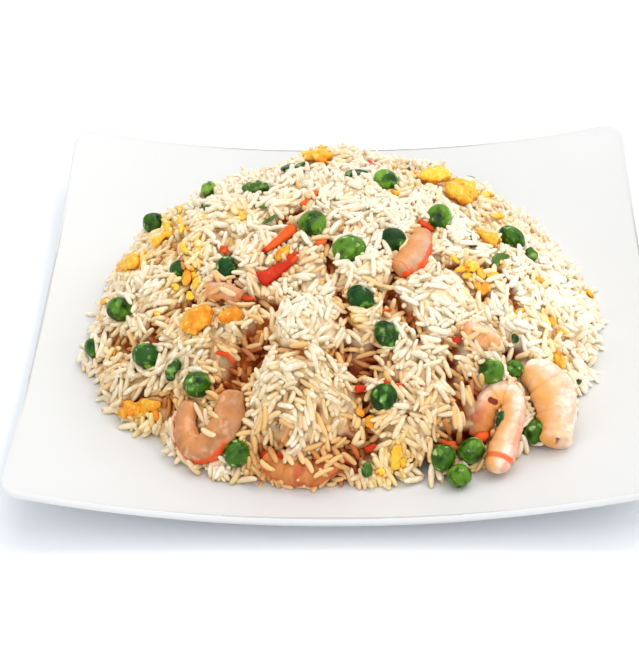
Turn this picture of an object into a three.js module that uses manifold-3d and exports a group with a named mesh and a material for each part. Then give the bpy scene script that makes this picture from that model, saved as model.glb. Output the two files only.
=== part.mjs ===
// A plate of fried rice: a square white plate with upswept corners, and a heap of rice on it
// with peas, beans, scallion, shrimps, egg and carrot lying half sunk in its surface.
// Millimetres, +Z up, origin on the table under the middle of the plate, the eater at -Y.
import * as THREE from "three";
import { mergeVertices } from "three/addons/utils/BufferGeometryUtils.js";
import Module from "manifold-3d";

const wasm = await Module();
wasm.setup();

// ---------- driving dimensions ----------

const GAP = 0.3; // between pieces that touch

// plate
const PLATE_SIDE = 240; // across, from side to side at the corners
const SIDE_BOW = 1; // how far a side swells out in its middle
const CORNER_RADIUS = 9; // in plan
const FLOOR_TOP = 7; // the flat well, above the table
const FLOOR_UNDER = 2.5;
const WELL_RADIUS = 104; // where the floor starts to rise
const FLARE = 1.35; // power of the rise from well to rim
const RIM_MIDDLE = 12; // rim height in the middle of a side
const RIM_CORNER = 26;
const RIM_SWEEP = 2.18; // power of the rise from mid-side to corner
const RIM_THICK = 3.8;
const RIM_ROUND = 1.3;
const FOOT_OUTER = 68;
const FOOT_INNER = 62;
const FOOT_RECESS = 2; // underside inside the foot ring, above the table
const FOOT_DRAFT = 1.5; // how far the foot ring's walls lean
const SIDE_STEPS = 9;
const CORNER_STEPS = 3;

// heap
const HEAP_RADIUS = 100;
const HEAP_HEIGHT = 54; // above the well, before the lumps
const CROWN = 1.9; // power that flattens the crown
const SHOULDER = 0.72; // power that steepens the foot
const LUMPS = [
  // plan centre x, y, reach, rise
  [-18, -74, 20, 6.5],
  [-10, -53, 13, 4.5],
  [-8, 20, 30, 3],
  [-58, 0, 24, 2],
  [-66, 38, 22, 2],
  [40, -56, 17, 4],
  [27, -84, 14, 3.5],
  [14, -36, 9, 3],
  [-38, -52, 11, 3],
  [-76, -38, 18, 3],
  [82, -26, 18, 4],
  [60, 14, 20, -2],
  [-36, -70, 9, -5],
  [7, -63, 8, -4.5],
  [60, -60, 10, -3],
  [-22, -34, 9, -2],
  [4, 72, 22, 3],
  [-48, 66, 17, 2.5],
  [46, 68, 18, 2],
  [84, 30, 16, 2.5],
  [22, 44, 16, -3.5],
  [-26, 54, 12, -2],
];

// rice
const HEAP_RINGS = 25;
const RIDGES = 560; // tries at a grain-sized ridge on the heap
const RIDGE_RISE = 2.2;
const RIDGE_MARGIN = 3; // bare rice round a topping that lies on it
const ROUGHNESS = 0.5;
const GRAIN_LENGTH = 8.5;
const GRAIN_THICK = 2.6;
const LOOSE_GRAINS = 56; // places for a whole grain that stands out of the surface
const GRAIN_ROOM = 1; // between a loose grain and a topping

// toppings
const SUNK_LIFT = 3; // middle of a pea or shrimp above the heap's surface
const CLEARANCE = 0.6; // under egg, carrot and beans, which lie on the surface
const SOCKET = 0.45; // least room round a topping that sinks into the rice
const SHRIMP_SIDES = 8;
const HOLLOW_SIDES = 6;

// peas: plan x, y of the foot on the heap, diameter
const PEAS = [
  [-10.5, -13, 10.4],
  [3, -26, 10.8],
  [19, -20.5, 9.6],
  [36, -2, 10],
  [64, 3.5, 9],
  [16, 16.5, 9],
  [-75, 29, 8.6],
  [-61, -18, 8],
  [-43, -25.5, 8.4],
  [-83.5, -22, 9.8],
  [-94.5, -26, 9],
  [-71, -50, 10],
  [-51.5, -66.5, 10],
  [-36.5, -89, 9.8],
  [7, -47.5, 9.8],
  [17, -59, 9.2],
  [15.5, -79.5, 9.8],
  [53, -64, 9],
  [62, -58, 7.4],
  [68.5, -73, 8.4],
  [46, -86, 9.6],
  [36, -89.5, 9.2],
  [42.5, -98.5, 8.6],
  [-36, 91.5, 9.4],
  [-4, 99, 9.8],
  [24, 96, 9],
  [50, 87, 9.6],
];

// beans: ends in plan, width
const BEANS = [
  [[69, -1.5], [73, -5], 5],
  [[-54, 28], [-51, 35], 6.4],
  [[-38.5, 19], [-28, 15.5], 5.4],
  [[-59, -56], [-63, -61], 4.6],
  [[10, 98], [16, 97.5], 6],
];

// shrimps: points along the middle, half widths.  A point has plan x, y of its foot on the heap,
// or x, y, z of the middle itself where the shrimp reaches out over the plate.
const SHRIMPS = [
  {
    middle: [[50, -77.5, 15.5], [52, -71.5, 21.5], [58, -68, 26], [63, -73, 25.5], [62, -82, 20],
      [57.5, -89.5, 15], [55, -96, 12.6]],
    half: [2.2, 2.8, 3.6, 4.2, 5, 4.8, 3.6],
  },
  {
    middle: [[67, -53, 27], [75, -57.5, 26.5], [81.5, -62.5, 22.5], [82.5, -69, 17.5], [79, -78, 13.6]],
    half: [3.6, 5.4, 6, 6, 5],
  },
  { middle: [[-54, -70.5], [-54.5, -76.5], [-50, -81.5], [-43.5, -83], [-38, -79.5]], half: [3.6, 4.6, 5, 4.8, 3.8] },
  { middle: [[-29, -91], [-21, -93.5], [-11, -95], [0, -93.5]], half: [3.6, 4.6, 5, 3.4] },
  { middle: [[30, -12.5], [28.5, -20.5], [25, -29.5], [20.5, -36]], half: [3.2, 4.4, 4.8, 3.2] },
  { middle: [[44, -55], [50.5, -54], [56, -52.5]], half: [3.2, 4.4, 3] },
  { middle: [[-49, -34], [-43.5, -37], [-36.5, -42]], half: [3, 4, 3] },
  { middle: [[-27, 93.5], [-20, 96], [-12, 98]], half: [3.8, 5, 3.6] },
];

// egg: ends in plan, width, thickness
const EGGS = [
  [[-15, 47], [-5, 43], 9, 4],
  [[31, 29], [40, 44], 8, 4],
  [[42, 18], [48.5, 34], 10, 5],
  [[-58, -47], [-46.5, -43.5], 10, 4.6],
  [[-43.5, -48.5], [-35.5, -50.5], 6, 3.6],
  [[-88, 18], [-79, 0], 6, 3.6],
  [[-83, -58], [-73, -63.5], 5, 3.4],
  [[50.5, 0], [58, -5], 5, 3],
  [[-74, 8], [-66, 10], 5, 3.2],
  [[38, 92.5], [44, 90], 6, 3.6],
];

// carrot: ends in plan, width, thickness
const CARROTS = [
  [[-28, -22], [-17, -12.5], 4.4, 3.2],
  [[-30.5, -35], [-15.5, -26.5], 5.4, 3.6],
];

// a shrimp's tail fan that lies beside it
const TAILS = [[[28.5, -6], [34, -10], 3.6, 3]];

// slivers of scallion, egg and carrot grown into the rice: ends in plan, width
const SLIVERS = [
  [[1, 20], [9, 27], 4],
  [[-24, 38], [-20, 46], 4],
  [[-18, 36], [-15, 43], 3.6],
  [[57, -18], [62.5, -8], 3.4],
  [[47, -5], [49, -12], 3.4],
  [[-57.5, 19], [-51, 16], 3.4],
  [[9, -97], [10.5, -94.5], 4],
  [[52, 33], [59, 35], 4],
  [[-58, -28], [-58, -20], 4],
  [[46, -26], [50, -21], 4],
  [[50.5, -35], [54.5, -30], 4],
  [[4, -55], [7, -52], 4.4],
  [[10, -87], [11.5, -84], 4],
  [[20.5, -90], [19, -95], 4.4],
  [[80, -47], [80, -42], 4],
  [[-74.5, -63], [-66, -66], 4],
];

// ---------- helpers ----------

const TURN = 2 * Math.PI;
const GOLDEN_TURN = TURN * 0.381966;
const ICOSAHEDRON_INSIDE = 0.7947; // radius of its inner ball over that of its corners

/** A repeatable random source, 0 to 1. */
function seeded(seed) {
  let state = seed;
  return () => {
    state = (state + 0x6d2b79f5) | 0;
    let mixed = Math.imul(state ^ (state >>> 15), 1 | state);
    mixed = (mixed + Math.imul(mixed ^ (mixed >>> 7), 61 | mixed)) ^ mixed;
    return ((mixed ^ (mixed >>> 14)) >>> 0) / 4294967296;
  };
}

/** An indexed geometry from Vector3 points and triangles of indices. */
function meshOf(points, triangles) {
  const geometry = new THREE.BufferGeometry();
  geometry.setAttribute("position", new THREE.Float32BufferAttribute(points.flatMap((p) => p.toArray()), 3));
  geometry.setIndex(triangles.flat());
  return geometry;
}

/** A closed solid over rings of equal length, each end closed to one point. */
function loftSolid(start, rings, end) {
  const count = rings[0].length;
  const points = [start, ...rings.flat(), end];
  const at = (ring, i) => 1 + ring * count + (i % count);
  const triangles = [];
  for (let i = 0; i < count; i++) {
    triangles.push([0, at(0, i), at(0, i + 1)]);
    for (let ring = 0; ring + 1 < rings.length; ring++) {
      triangles.push([at(ring, i), at(ring + 1, i), at(ring + 1, i + 1)]);
      triangles.push([at(ring, i), at(ring + 1, i + 1), at(ring, i + 1)]);
    }
    triangles.push([at(rings.length - 1, i + 1), at(rings.length - 1, i), points.length - 1]);
  }
  return meshOf(points, triangles);
}

function toManifold(geometry) {
  return new wasm.Manifold(new wasm.Mesh({
    numProp: 3,
    vertProperties: new Float32Array(geometry.getAttribute("position").array),
    triVerts: new Uint32Array(geometry.getIndex().array),
  }));
}

function fromManifold(solid) {
  const mesh = solid.getMesh();
  const geometry = new THREE.BufferGeometry();
  geometry.setAttribute("position", new THREE.BufferAttribute(mesh.vertProperties, 3));
  geometry.setIndex(new THREE.BufferAttribute(mesh.triVerts, 1));
  return geometry;
}

const group = new THREE.Group();

function add(name, geometry, { color, roughness }) {
  geometry.computeVertexNormals();
  const mesh = new THREE.Mesh(geometry, new THREE.MeshStandardMaterial({ color, roughness, metalness: 0 }));
  mesh.name = name;
  group.add(mesh);
}

// ---------- plate ----------

/** Height of the rim in the direction of a plan point. */
function rimHeight(x, y) {
  const across = Math.min(Math.abs(x), Math.abs(y)) / Math.max(Math.abs(x), Math.abs(y));
  return RIM_MIDDLE + (RIM_CORNER - RIM_MIDDLE) * across ** RIM_SWEEP;
}

/** The plan outline: a square with slightly bowed sides and round corners. */
function plateOutline() {
  const half = PLATE_SIDE / 2;
  const straight = half - CORNER_RADIUS;
  const side = [];
  for (let i = 0; i < SIDE_STEPS; i++) {
    const y = straight * (-1 + (2 * i) / SIDE_STEPS);
    side.push(new THREE.Vector2(half + SIDE_BOW * (1 - (y / straight) ** 2), y));
  }
  for (let i = 0; i < CORNER_STEPS; i++) {
    const turn = (TURN / 4) * (i / CORNER_STEPS);
    const corner = new THREE.Vector2(Math.cos(turn), Math.sin(turn)).multiplyScalar(CORNER_RADIUS);
    side.push(corner.addScalar(straight));
  }
  const middle = new THREE.Vector2();
  return [0, 1, 2, 3].flatMap((quarter) => side.map((p) => p.clone().rotateAround(middle, (quarter * TURN) / 4)));
}

/** The plate's section from the well over the rim to the foot, towards one outline point: [radius, z]. */
function plateSection({ x, y }) {
  const reach = Math.hypot(x, y);
  const rim = rimHeight(x, y);
  const radiusAt = (t) => THREE.MathUtils.lerp(WELL_RADIUS, reach, t);
  const topAt = (t) => FLOOR_TOP + (rim - FLOOR_TOP) * t ** FLARE;
  const wallAt = (t) => THREE.MathUtils.lerp(FLOOR_TOP - FLOOR_UNDER, RIM_THICK, t);
  return [
    ...[0, 0.25, 0.5, 0.75].map((t) => [radiusAt(t), topAt(t)]),
    [reach - RIM_ROUND, rim - 0.15],
    [reach - 0.25, rim - 0.7],
    [reach, rim - RIM_THICK / 2],
    [reach - RIM_ROUND, rim - RIM_THICK],
    ...[0.7, 0.4, 0.15].map((t) => [radiusAt(t), topAt(t) - wallAt(t)]),
    [WELL_RADIUS - 6, FLOOR_UNDER],
    [FOOT_OUTER + FOOT_DRAFT, FLOOR_UNDER],
    [FOOT_OUTER, 0],
    [FOOT_INNER, 0],
    [FOOT_INNER - FOOT_DRAFT, FOOT_RECESS],
  ];
}

function plate() {
  const spokes = plateOutline().map((edge) => {
    const away = edge.clone().normalize();
    return plateSection(edge).map(([radius, z]) => new THREE.Vector3(away.x * radius, away.y * radius, z));
  });
  const rings = spokes[0].map((_, step) => spokes.map((spoke) => spoke[step]));
  return loftSolid(new THREE.Vector3(0, 0, FLOOR_TOP), rings, new THREE.Vector3(0, 0, FOOT_RECESS));
}

/** Height of the plate's upper surface at a plan point. */
function plateTop(x, y) {
  const radius = Math.hypot(x, y);
  if (radius <= WELL_RADIUS) return FLOOR_TOP;
  const reach = ((PLATE_SIDE / 2) * radius) / Math.max(Math.abs(x), Math.abs(y));
  const t = (radius - WELL_RADIUS) / (reach - WELL_RADIUS);
  return FLOOR_TOP + (rimHeight(x, y) - FLOOR_TOP) * t ** FLARE;
}

// ---------- the heap's shape ----------

/** Plan radius of the heap's uneven outline. */
function heapEdge(angle) {
  const swell = 0.014 * Math.sin(3 * angle + 3.4) + 0.006 * Math.sin(7 * angle + 2);
  return HEAP_RADIUS * (1 + swell + 0.005 * Math.sin(12 * angle));
}

const domeProfile = (t) => HEAP_HEIGHT * (1 - t ** CROWN) ** SHOULDER;

/** Height of the bare heap at a plan point. */
function heapTop(x, y) {
  const t = Math.min(Math.hypot(x, y) / heapEdge(Math.atan2(y, x)), 1);
  const fade = Math.min((1 - t) * 5, 1);
  let z = FLOOR_TOP + GAP + domeProfile(t);
  for (const [lumpX, lumpY, reach, rise] of LUMPS) {
    z += rise * fade * Math.exp(-((x - lumpX) ** 2 + (y - lumpY) ** 2) / reach ** 2);
  }
  return z;
}

function heapNormal(x, y) {
  const step = 0.2;
  const slopeX = (heapTop(x + step, y) - heapTop(x - step, y)) / (2 * step);
  const slopeY = (heapTop(x, y + step) - heapTop(x, y - step)) / (2 * step);
  return new THREE.Vector3(-slopeX, -slopeY, 1).normalize();
}

/** The point a lift above the heap, held clear of the plate by its own half thickness. */
function above(x, y, lift, half) {
  const point = new THREE.Vector3(x, y, heapTop(x, y)).addScaledVector(heapNormal(x, y), lift);
  point.z = Math.max(point.z, plateTop(point.x, point.y) + half + 2 * GAP);
  return point;
}

// ---------- toppings ----------

/** A bent round-sided bar: rings of half widths and half heights round its middle line. */
function bar(middles, ups, widths, heights, sides, tip) {
  const last = middles.length - 1;
  const along = (i) => {
    const before = middles[Math.max(i - 1, 0)];
    return middles[Math.min(i + 1, last)].clone().sub(before).normalize();
  };
  const rings = middles.map((middle, i) => {
    const side = along(i).cross(ups[i]).normalize();
    const up = side.clone().cross(along(i));
    return Array.from({ length: sides }, (_, k) => middle.clone()
      .addScaledVector(side, widths[i] * Math.cos((TURN * k) / sides))
      .addScaledVector(up, heights[i] * Math.sin((TURN * k) / sides)));
  });
  const start = middles[0].clone().addScaledVector(along(0), -tip);
  const end = middles[last].clone().addScaledVector(along(last), tip);
  return loftSolid(start, rings, end);
}

/** A pea half sunk in the rice: its ball, and the hollow that it lies in. */
function peaPiece([x, y, diameter]) {
  const radius = diameter / 2;
  const middle = above(x, y, SUNK_LIFT, radius);
  const ball = (size, detail) => {
    const geometry = new THREE.IcosahedronGeometry(size, detail).translate(...middle.toArray());
    geometry.deleteAttribute("normal");
    geometry.deleteAttribute("uv");
    return mergeVertices(geometry);
  };
  const hollow = ball((radius + SOCKET) / ICOSAHEDRON_INSIDE, 0);
  return { middles: [middle], reach: radius, geometry: ball(radius, 1), hollow };
}

/** The direction square to the plane that a bent line lies in, upwards. */
function squareTo(points) {
  const square = new THREE.Vector3();
  const reach = (i) => points[i].clone().sub(points[0]);
  for (let i = 2; i < points.length; i++) square.add(reach(i - 1).cross(reach(i)));
  return square.multiplyScalar(Math.sign(square.z)).normalize();
}

/** A shrimp half sunk in the rice, with its hollow. */
function shrimpPiece({ middle, half }) {
  const steps = 2 * (middle.length - 1);
  const curve = new THREE.CatmullRomCurve3(middle.map(([x, y, z]) => new THREE.Vector3(x, y, z ?? 0)));
  const parts = Array.from({ length: steps + 1 }, (_, i) => i / steps);
  const halfAt = (part) => {
    const before = Math.min(Math.floor(part * (half.length - 1)), half.length - 2);
    return THREE.MathUtils.lerp(half[before], half[before + 1], part * (half.length - 1) - before);
  };
  const free = middle[0].length === 3;
  const points = parts.map((part) => curve.getPoint(part));
  const middles = points.map((p, i) => (free ? p : above(p.x, p.y, SUNK_LIFT, halfAt(parts[i]))));
  const ups = points.map((p) => (free ? squareTo(points) : heapNormal(p.x, p.y)));
  const halves = parts.map(halfAt);
  const roomy = halves.map((size) => (size + SOCKET) / Math.cos(Math.PI / HOLLOW_SIDES));
  return {
    middles,
    reach: Math.max(...half),
    geometry: bar(middles, ups, halves, halves, SHRIMP_SIDES, halves[0] / 2),
    hollow: bar(middles, ups, roomy, roomy, HOLLOW_SIDES, halves[0] / 2 + 3 * SOCKET),
  };
}

/** A piece that lies on the rice between two plan points, or, with a negative clearance, grows out of it. */
function laidPiece(start, end, width, thick, blunt, sides, clearance) {
  const steps = 3;
  const parts = Array.from({ length: steps + 1 }, (_, i) => i / steps);
  const swell = (part) => blunt + (1 - blunt) * Math.sin(Math.PI * part) ** 0.6;
  const feet = parts.map((part) => new THREE.Vector2(...start).lerp(new THREE.Vector2(...end), part));
  const heights = parts.map((part) => (swell(part) * thick) / 2);
  const widths = parts.map((part) => (swell(part) * width) / 2);
  const middles = feet.map(({ x, y }, i) => above(x, y, heights[i] + clearance, heights[i]));
  const ups = feet.map(({ x, y }) => heapNormal(x, y));
  return { middles, reach: width / 2, geometry: bar(middles, ups, widths, heights, sides, width / 5) };
}

const GREEN = { color: 0x2e8b2a, roughness: 0.35 };
const PINK = { color: 0xf2a98a, roughness: 0.4 };
const YELLOW = { color: 0xf6c244, roughness: 0.55 };
const RED = { color: 0xe8431f, roughness: 0.45 };

const blunt = { pod: 0.6, curd: 0.55, cut: 0.85 };
const laidOn = (start, end, width, thick, ends) => laidPiece(start, end, width, thick, ends, 6, CLEARANCE);
const toppings = [
  ...PEAS.map((place, i) => ({ name: `pea_${i + 1}`, look: GREEN, ...peaPiece(place) })),
  ...BEANS.map(([start, end, width], i) => (
    { name: `bean_${i + 1}`, look: GREEN, ...laidOn(start, end, width, width, blunt.pod) })),
  ...SHRIMPS.map((shape, i) => ({ name: `shrimp_${i + 1}`, look: PINK, ...shrimpPiece(shape) })),
  ...EGGS.map(([start, end, width, thick], i) => (
    { name: `egg_${i + 1}`, look: YELLOW, ...laidOn(start, end, width, thick, blunt.curd) })),
  ...CARROTS.map(([start, end, width, thick], i) => (
    { name: `carrot_${i + 1}`, look: RED, ...laidOn(start, end, width, thick, blunt.cut) })),
  ...TAILS.map(([start, end, width, thick], i) => (
    { name: `tail_${i + 1}`, look: RED, ...laidOn(start, end, width, thick, blunt.cut) })),
];

/** True where a point lies within a distance of a topping's surface, taken as balls along its middle. */
const near = (point, topping, distance) => (
  topping.middles.some((middle) => middle.distanceTo(point) < topping.reach + distance));

// ---------- rice ----------

/** Ring radii, as parts of the outline, that divide the dome's slope evenly. */
function evenRings(count) {
  const fine = 2000;
  const lengths = [0];
  for (let i = 1; i <= fine; i++) {
    const drop = domeProfile(i / fine) - domeProfile((i - 1) / fine);
    lengths.push(lengths[i - 1] + Math.hypot(HEAP_RADIUS / fine, drop));
  }
  return Array.from({ length: count + 1 }, (_, ring) => (
    lengths.findIndex((length) => length >= (lengths[fine] * ring) / count) / fine));
}

/** Plan points of the heap's rings, ring k having 6k of them, a little out of true, and its triangles. */
function heapGrid(random) {
  const parts = evenRings(HEAP_RINGS);
  const at = (ring, i) => (ring === 0 ? 0 : 1 + 3 * ring * (ring - 1) + (i % (6 * ring)));
  const plan = [[0, 0]];
  const triangles = [];
  for (let ring = 1; ring <= HEAP_RINGS; ring++) {
    const spread = ring === HEAP_RINGS ? 0 : 0.22 * (parts[ring + 1] - parts[ring]);
    for (let i = 0; i < 6 * ring; i++) {
      const angle = (TURN * (i + 0.4 * (random() - 0.5))) / (6 * ring);
      const radius = heapEdge(angle) * (parts[ring] + spread * (2 * random() - 1));
      plan.push([radius * Math.cos(angle), radius * Math.sin(angle)]);
    }
    for (let i = 0; i < 6 * ring; i++) {
      const inner = i - Math.floor(i / ring);
      triangles.push([at(ring, i), at(ring, i + 1), at(ring - 1, inner)]);
      if (i % ring < ring - 1) triangles.push([at(ring, i + 1), at(ring - 1, inner + 1), at(ring - 1, inner)]);
    }
  }
  return { plan, triangles };
}

/** The heap: a dome of near-equal triangles on a flat base, ridged in grains where no topping lies on it. */
function heapCore(random) {
  const { plan, triangles } = heapGrid(random);
  const base = FLOOR_TOP + GAP;
  const rim = plan.length - 6 * HEAP_RINGS;
  const rises = plan.map(() => ROUGHNESS * (random() - 0.6));
  const flatOnes = toppings.filter(({ hollow }) => !hollow);
  const closed = plan.map(([x, y], i) => {
    const point = new THREE.Vector3(x, y, heapTop(x, y));
    return i >= rim || flatOnes.some((topping) => near(point, topping, RIDGE_MARGIN));
  });
  for (let ridge = 0; ridge < RIDGES; ridge++) {
    const [a, b] = triangles[Math.floor(random() * triangles.length)];
    const rise = RIDGE_RISE * (0.75 + 0.4 * random());
    if (closed[a] || closed[b]) continue;
    closed[a] = closed[b] = true;
    rises[a] = rises[b] = rise;
  }
  const points = plan.map(([x, y], i) => {
    if (i >= rim) return new THREE.Vector3(x, y, base);
    const point = new THREE.Vector3(x, y, heapTop(x, y)).addScaledVector(heapNormal(x, y), rises[i]);
    point.z = Math.max(point.z, base + 0.4);
    return point;
  });
  points.push(new THREE.Vector3(0, 0, base));
  for (let i = 0; i < 6 * HEAP_RINGS; i++) {
    triangles.push([rim + ((i + 1) % (6 * HEAP_RINGS)), rim + i, points.length - 1]);
  }
  return toManifold(meshOf(points, triangles));
}

/** Whole grains spread evenly over the heap, those that would touch a topping or the plate left out. */
function looseGrains(random) {
  const half = GRAIN_THICK / 2;
  const grains = [];
  for (let i = 0; i < LOOSE_GRAINS; i++) {
    const angle = i * GOLDEN_TURN;
    const radius = 0.985 * heapEdge(angle) * Math.sqrt((i + 0.5) / LOOSE_GRAINS);
    const [x, y] = [radius * Math.cos(angle), radius * Math.sin(angle)];
    const up = heapNormal(x, y);
    const heading = TURN * random();
    const lean = 0.5 * random();
    const length = GRAIN_LENGTH * (0.8 + 0.35 * random());
    const along = new THREE.Vector3(Math.cos(heading), Math.sin(heading), 0).cross(up).normalize();
    along.addScaledVector(up, lean).normalize();
    const middle = new THREE.Vector3(x, y, heapTop(x, y)).addScaledVector(up, 0.6 + 1.2 * lean);
    const ends = [-0.25, 0.25].map((part) => middle.clone().addScaledVector(along, part * length));
    if (ends.some((end) => end.z < FLOOR_TOP + GAP + half)) continue;
    const touches = (topping) => [middle, ...ends].some((point) => near(point, topping, half + GRAIN_ROOM));
    if (toppings.some(touches)) continue;
    grains.push(toManifold(bar(ends, [up, up], [half, half], [half, half], 4, length / 4)));
  }
  return grains;
}

/** The rice: the heap with loose grains and slivers fused on, hollowed where toppings sink in. */
function rice() {
  const random = seeded(7);
  let solid = heapCore(random);
  const slivers = SLIVERS.map(([start, end, width]) => (
    toManifold(laidPiece(start, end, width, width * 0.8, 0.6, 5, -width / 2).geometry)));
  for (const piece of [...looseGrains(random), ...slivers]) solid = solid.add(piece);
  for (const { hollow } of toppings) if (hollow) solid = solid.subtract(toManifold(hollow));
  const bodies = solid.decompose();
  bodies.sort((a, b) => b.volume() - a.volume());
  return bodies[0];
}

// ---------- the whole ----------

add("plate", plate(), { color: 0xf6f7f7, roughness: 0.15 });
add("rice", fromManifold(rice()), { color: 0xf3e6cc, roughness: 0.5 });
for (const { name, geometry, look } of toppings) add(name, geometry, look);

export default group;
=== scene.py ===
"""A plate of fried rice: thousands of modelled grains settled round peas, shrimps, egg, carrot
and scallion on a domed heap, on a square white plate with upswept corners.

Lengths are millimetres until a mesh is made, with +Z up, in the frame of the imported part.
"""

import math

import bpy
import numpy as np
from mathutils import Matrix, Vector, kdtree, noise


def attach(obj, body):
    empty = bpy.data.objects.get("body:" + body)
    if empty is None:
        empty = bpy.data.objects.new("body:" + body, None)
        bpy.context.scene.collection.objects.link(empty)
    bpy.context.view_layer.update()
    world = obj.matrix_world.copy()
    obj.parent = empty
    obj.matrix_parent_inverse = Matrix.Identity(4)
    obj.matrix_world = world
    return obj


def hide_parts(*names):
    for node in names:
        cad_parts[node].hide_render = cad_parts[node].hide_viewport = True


MM = 0.001
TAU = 2 * math.pi

# ---------- the part's own dimensions, as in its source ----------

GAP = 0.3
PLATE_SIDE = 240
SIDE_BOW = 1
CORNER_RADIUS = 9
FLOOR_TOP = 7
FLOOR_UNDER = 2.5
WELL_RADIUS = 104
FLARE = 1.35
RIM_MIDDLE = 12
RIM_CORNER = 26
RIM_SWEEP = 2.18
RIM_THICK = 3.8
FOOT_OUTER = 68
FOOT_INNER = 62
FOOT_RECESS = 2
FOOT_DRAFT = 1.5
LIP_ANGLES = [75, 50, 25, 0, -30, -60, -90]  # degrees round the rim's rounded lip
SIDE_STEPS, CORNER_STEPS, FLARE_STEPS, UNDER_STEPS = 45, 13, 26, 14
RIM_BLUR = 9  # evens the rim's height out along the outline

HEAP_RADIUS = 100
HEAP_HEIGHT = 54
CROWN = 1.9
SHOULDER = 0.72
LUMPS = np.array([  # plan centre x, y, reach, rise
    [-18, -74, 20, 6.5], [-10, -53, 13, 4.5], [-8, 20, 30, 3], [-58, 0, 24, 2],
    [-66, 38, 22, 2], [40, -56, 17, 4], [27, -84, 14, 3.5], [14, -36, 9, 3],
    [-38, -52, 11, 3], [-76, -38, 18, 3], [82, -26, 18, 4], [60, 14, 20, -2],
    [-36, -70, 9, -5], [7, -63, 8, -4.5], [60, -60, 10, -3], [-22, -34, 9, -2],
    [4, 72, 22, 3], [-48, 66, 17, 2.5], [46, 68, 18, 2], [84, 30, 16, 2.5],
    [22, 44, 16, -3.5], [-26, 54, 12, -2],
])
SUNK_LIFT = 3
CLEARANCE = 0.6

PEAS = [  # plan x, y of the foot on the heap, diameter
    [-10.5, -13, 10.4], [3, -26, 10.8], [19, -20.5, 9.6], [36, -2, 10], [64, 3.5, 9],
    [16, 16.5, 9], [-75, 29, 8.6], [-61, -18, 8], [-43, -25.5, 8.4], [-83.5, -22, 9.8],
    [-94.5, -26, 9], [-71, -50, 10], [-51.5, -66.5, 10], [-36.5, -89, 9.8], [7, -47.5, 9.8],
    [17, -59, 9.2], [15.5, -79.5, 9.8], [53, -64, 9], [62, -58, 7.4], [68.5, -73, 8.4],
    [46, -86, 9.6], [36, -89.5, 9.2], [42.5, -98.5, 8.6], [-36, 91.5, 9.4], [-4, 99, 9.8],
    [24, 96, 9], [50, 87, 9.6],
]
BEANS = [  # ends in plan, width
    [[69, -1.5], [73, -5], 5], [[-54, 28], [-51, 35], 6.4], [[-38.5, 19], [-28, 15.5], 5.4],
    [[-59, -56], [-63, -61], 4.6], [[10, 98], [16, 97.5], 6],
]
SHRIMPS = [  # points along the middle, half widths
    {"middle": [[48.6, -80, 14.2], [50.6, -77, 19.4], [52.6, -73.6, 23.6], [55.8, -70.6, 26.4],
                [60, -70, 26.8], [62.6, -73.2, 25], [61.8, -79.4, 20.8], [58.8, -86.4, 15.8],
                [55, -96.6, 11.9]],
     "half": [3.8, 4.8, 4.3, 4.6, 4.9, 4.5, 4.3, 5.4, 4.6]},
    {"middle": [[67.4, -55.6, 26.6], [73.4, -60, 26.4], [77.2, -64.8, 23.2], [78.6, -69.6, 18.6],
                [79, -75, 15], [77.8, -82, 12.9]],
     "half": [4.4, 7.2, 8.6, 7.8, 6.2, 6]},
    {"middle": [[-53.6, -70], [-55, -77.4], [-50, -83.4], [-43.4, -84], [-38.6, -79.4], [-38, -73]],
     "half": [3.4, 4.7, 5.5, 5.7, 5.8, 4.6]},
    {"middle": [[-28, -91.8], [-20, -95.2], [-11, -96.2], [-1, -94]], "half": [3.6, 4.6, 5, 3.4]},
    {"middle": [[30, -12.5], [28.5, -20.5], [25, -29.5], [20.5, -36]],
     "half": [3.2, 5.2, 5.8, 3.6]},
    {"middle": [[44, -55], [50.5, -54], [56, -52.5]], "half": [3.2, 4.4, 3]},
    {"middle": [[-49, -34], [-43.5, -37], [-36.5, -42]], "half": [3, 4, 3]},
    {"middle": [[-27, 93.5], [-20, 96], [-12, 98]], "half": [3.8, 5, 3.6]},
]
EGGS = [  # ends in plan, width, thickness
    [[-15, 47], [-5, 43], 9, 4], [[31, 29], [40, 44], 9.5, 4.4], [[42, 18], [48.5, 34], 11.5, 5.6],
    [[-58, -47], [-46.5, -43.5], 10, 4.6], [[-43.5, -48.5], [-35.5, -50.5], 6, 3.6],
    [[-88, 18], [-79, 0], 6, 3.6], [[-83, -58], [-73, -63.5], 5, 3.4],
    [[50.5, 0], [58, -5], 5, 3], [[-74, 8], [-66, 10], 5, 3.2], [[38, 92.5], [44, 90], 6, 3.6],
]
CARROTS = [[[-28, -22], [-17, -12.5], 4.4, 3.2], [[-30.5, -35], [-15.5, -26.5], 5.4, 3.6]]
TAILS = [[[28.5, -6], [34, -10], 3.6, 3]]
SCALLIONS = [  # slivers fused to the rice: ends in plan, width
    [[1, 20], [9, 27], 4], [[-24, 38], [-20, 46], 4], [[-18, 36], [-15, 43], 3.6],
    [[57, -18], [62.5, -8], 3.4], [[47, -5], [49, -12], 3.4], [[-57.5, 19], [-51, 16], 3.4],
    [[9, -97], [10.5, -94.5], 4],
]
SCRAPS = [  # egg and carrot fused to the rice
    [[52, 33], [59, 35], 4], [[-58, -28], [-58, -20], 4], [[46, -26], [50, -21], 4],
    [[50.5, -35], [54.5, -30], 4], [[4, -55], [7, -52], 4.4], [[10, -87], [11.5, -84], 4],
    [[20.5, -90], [19, -95], 4.4], [[80, -47], [80, -42], 4], [[-74.5, -63], [-66, -66], 4],
]

# ---------- how each pea and shrimp looks ----------

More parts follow.
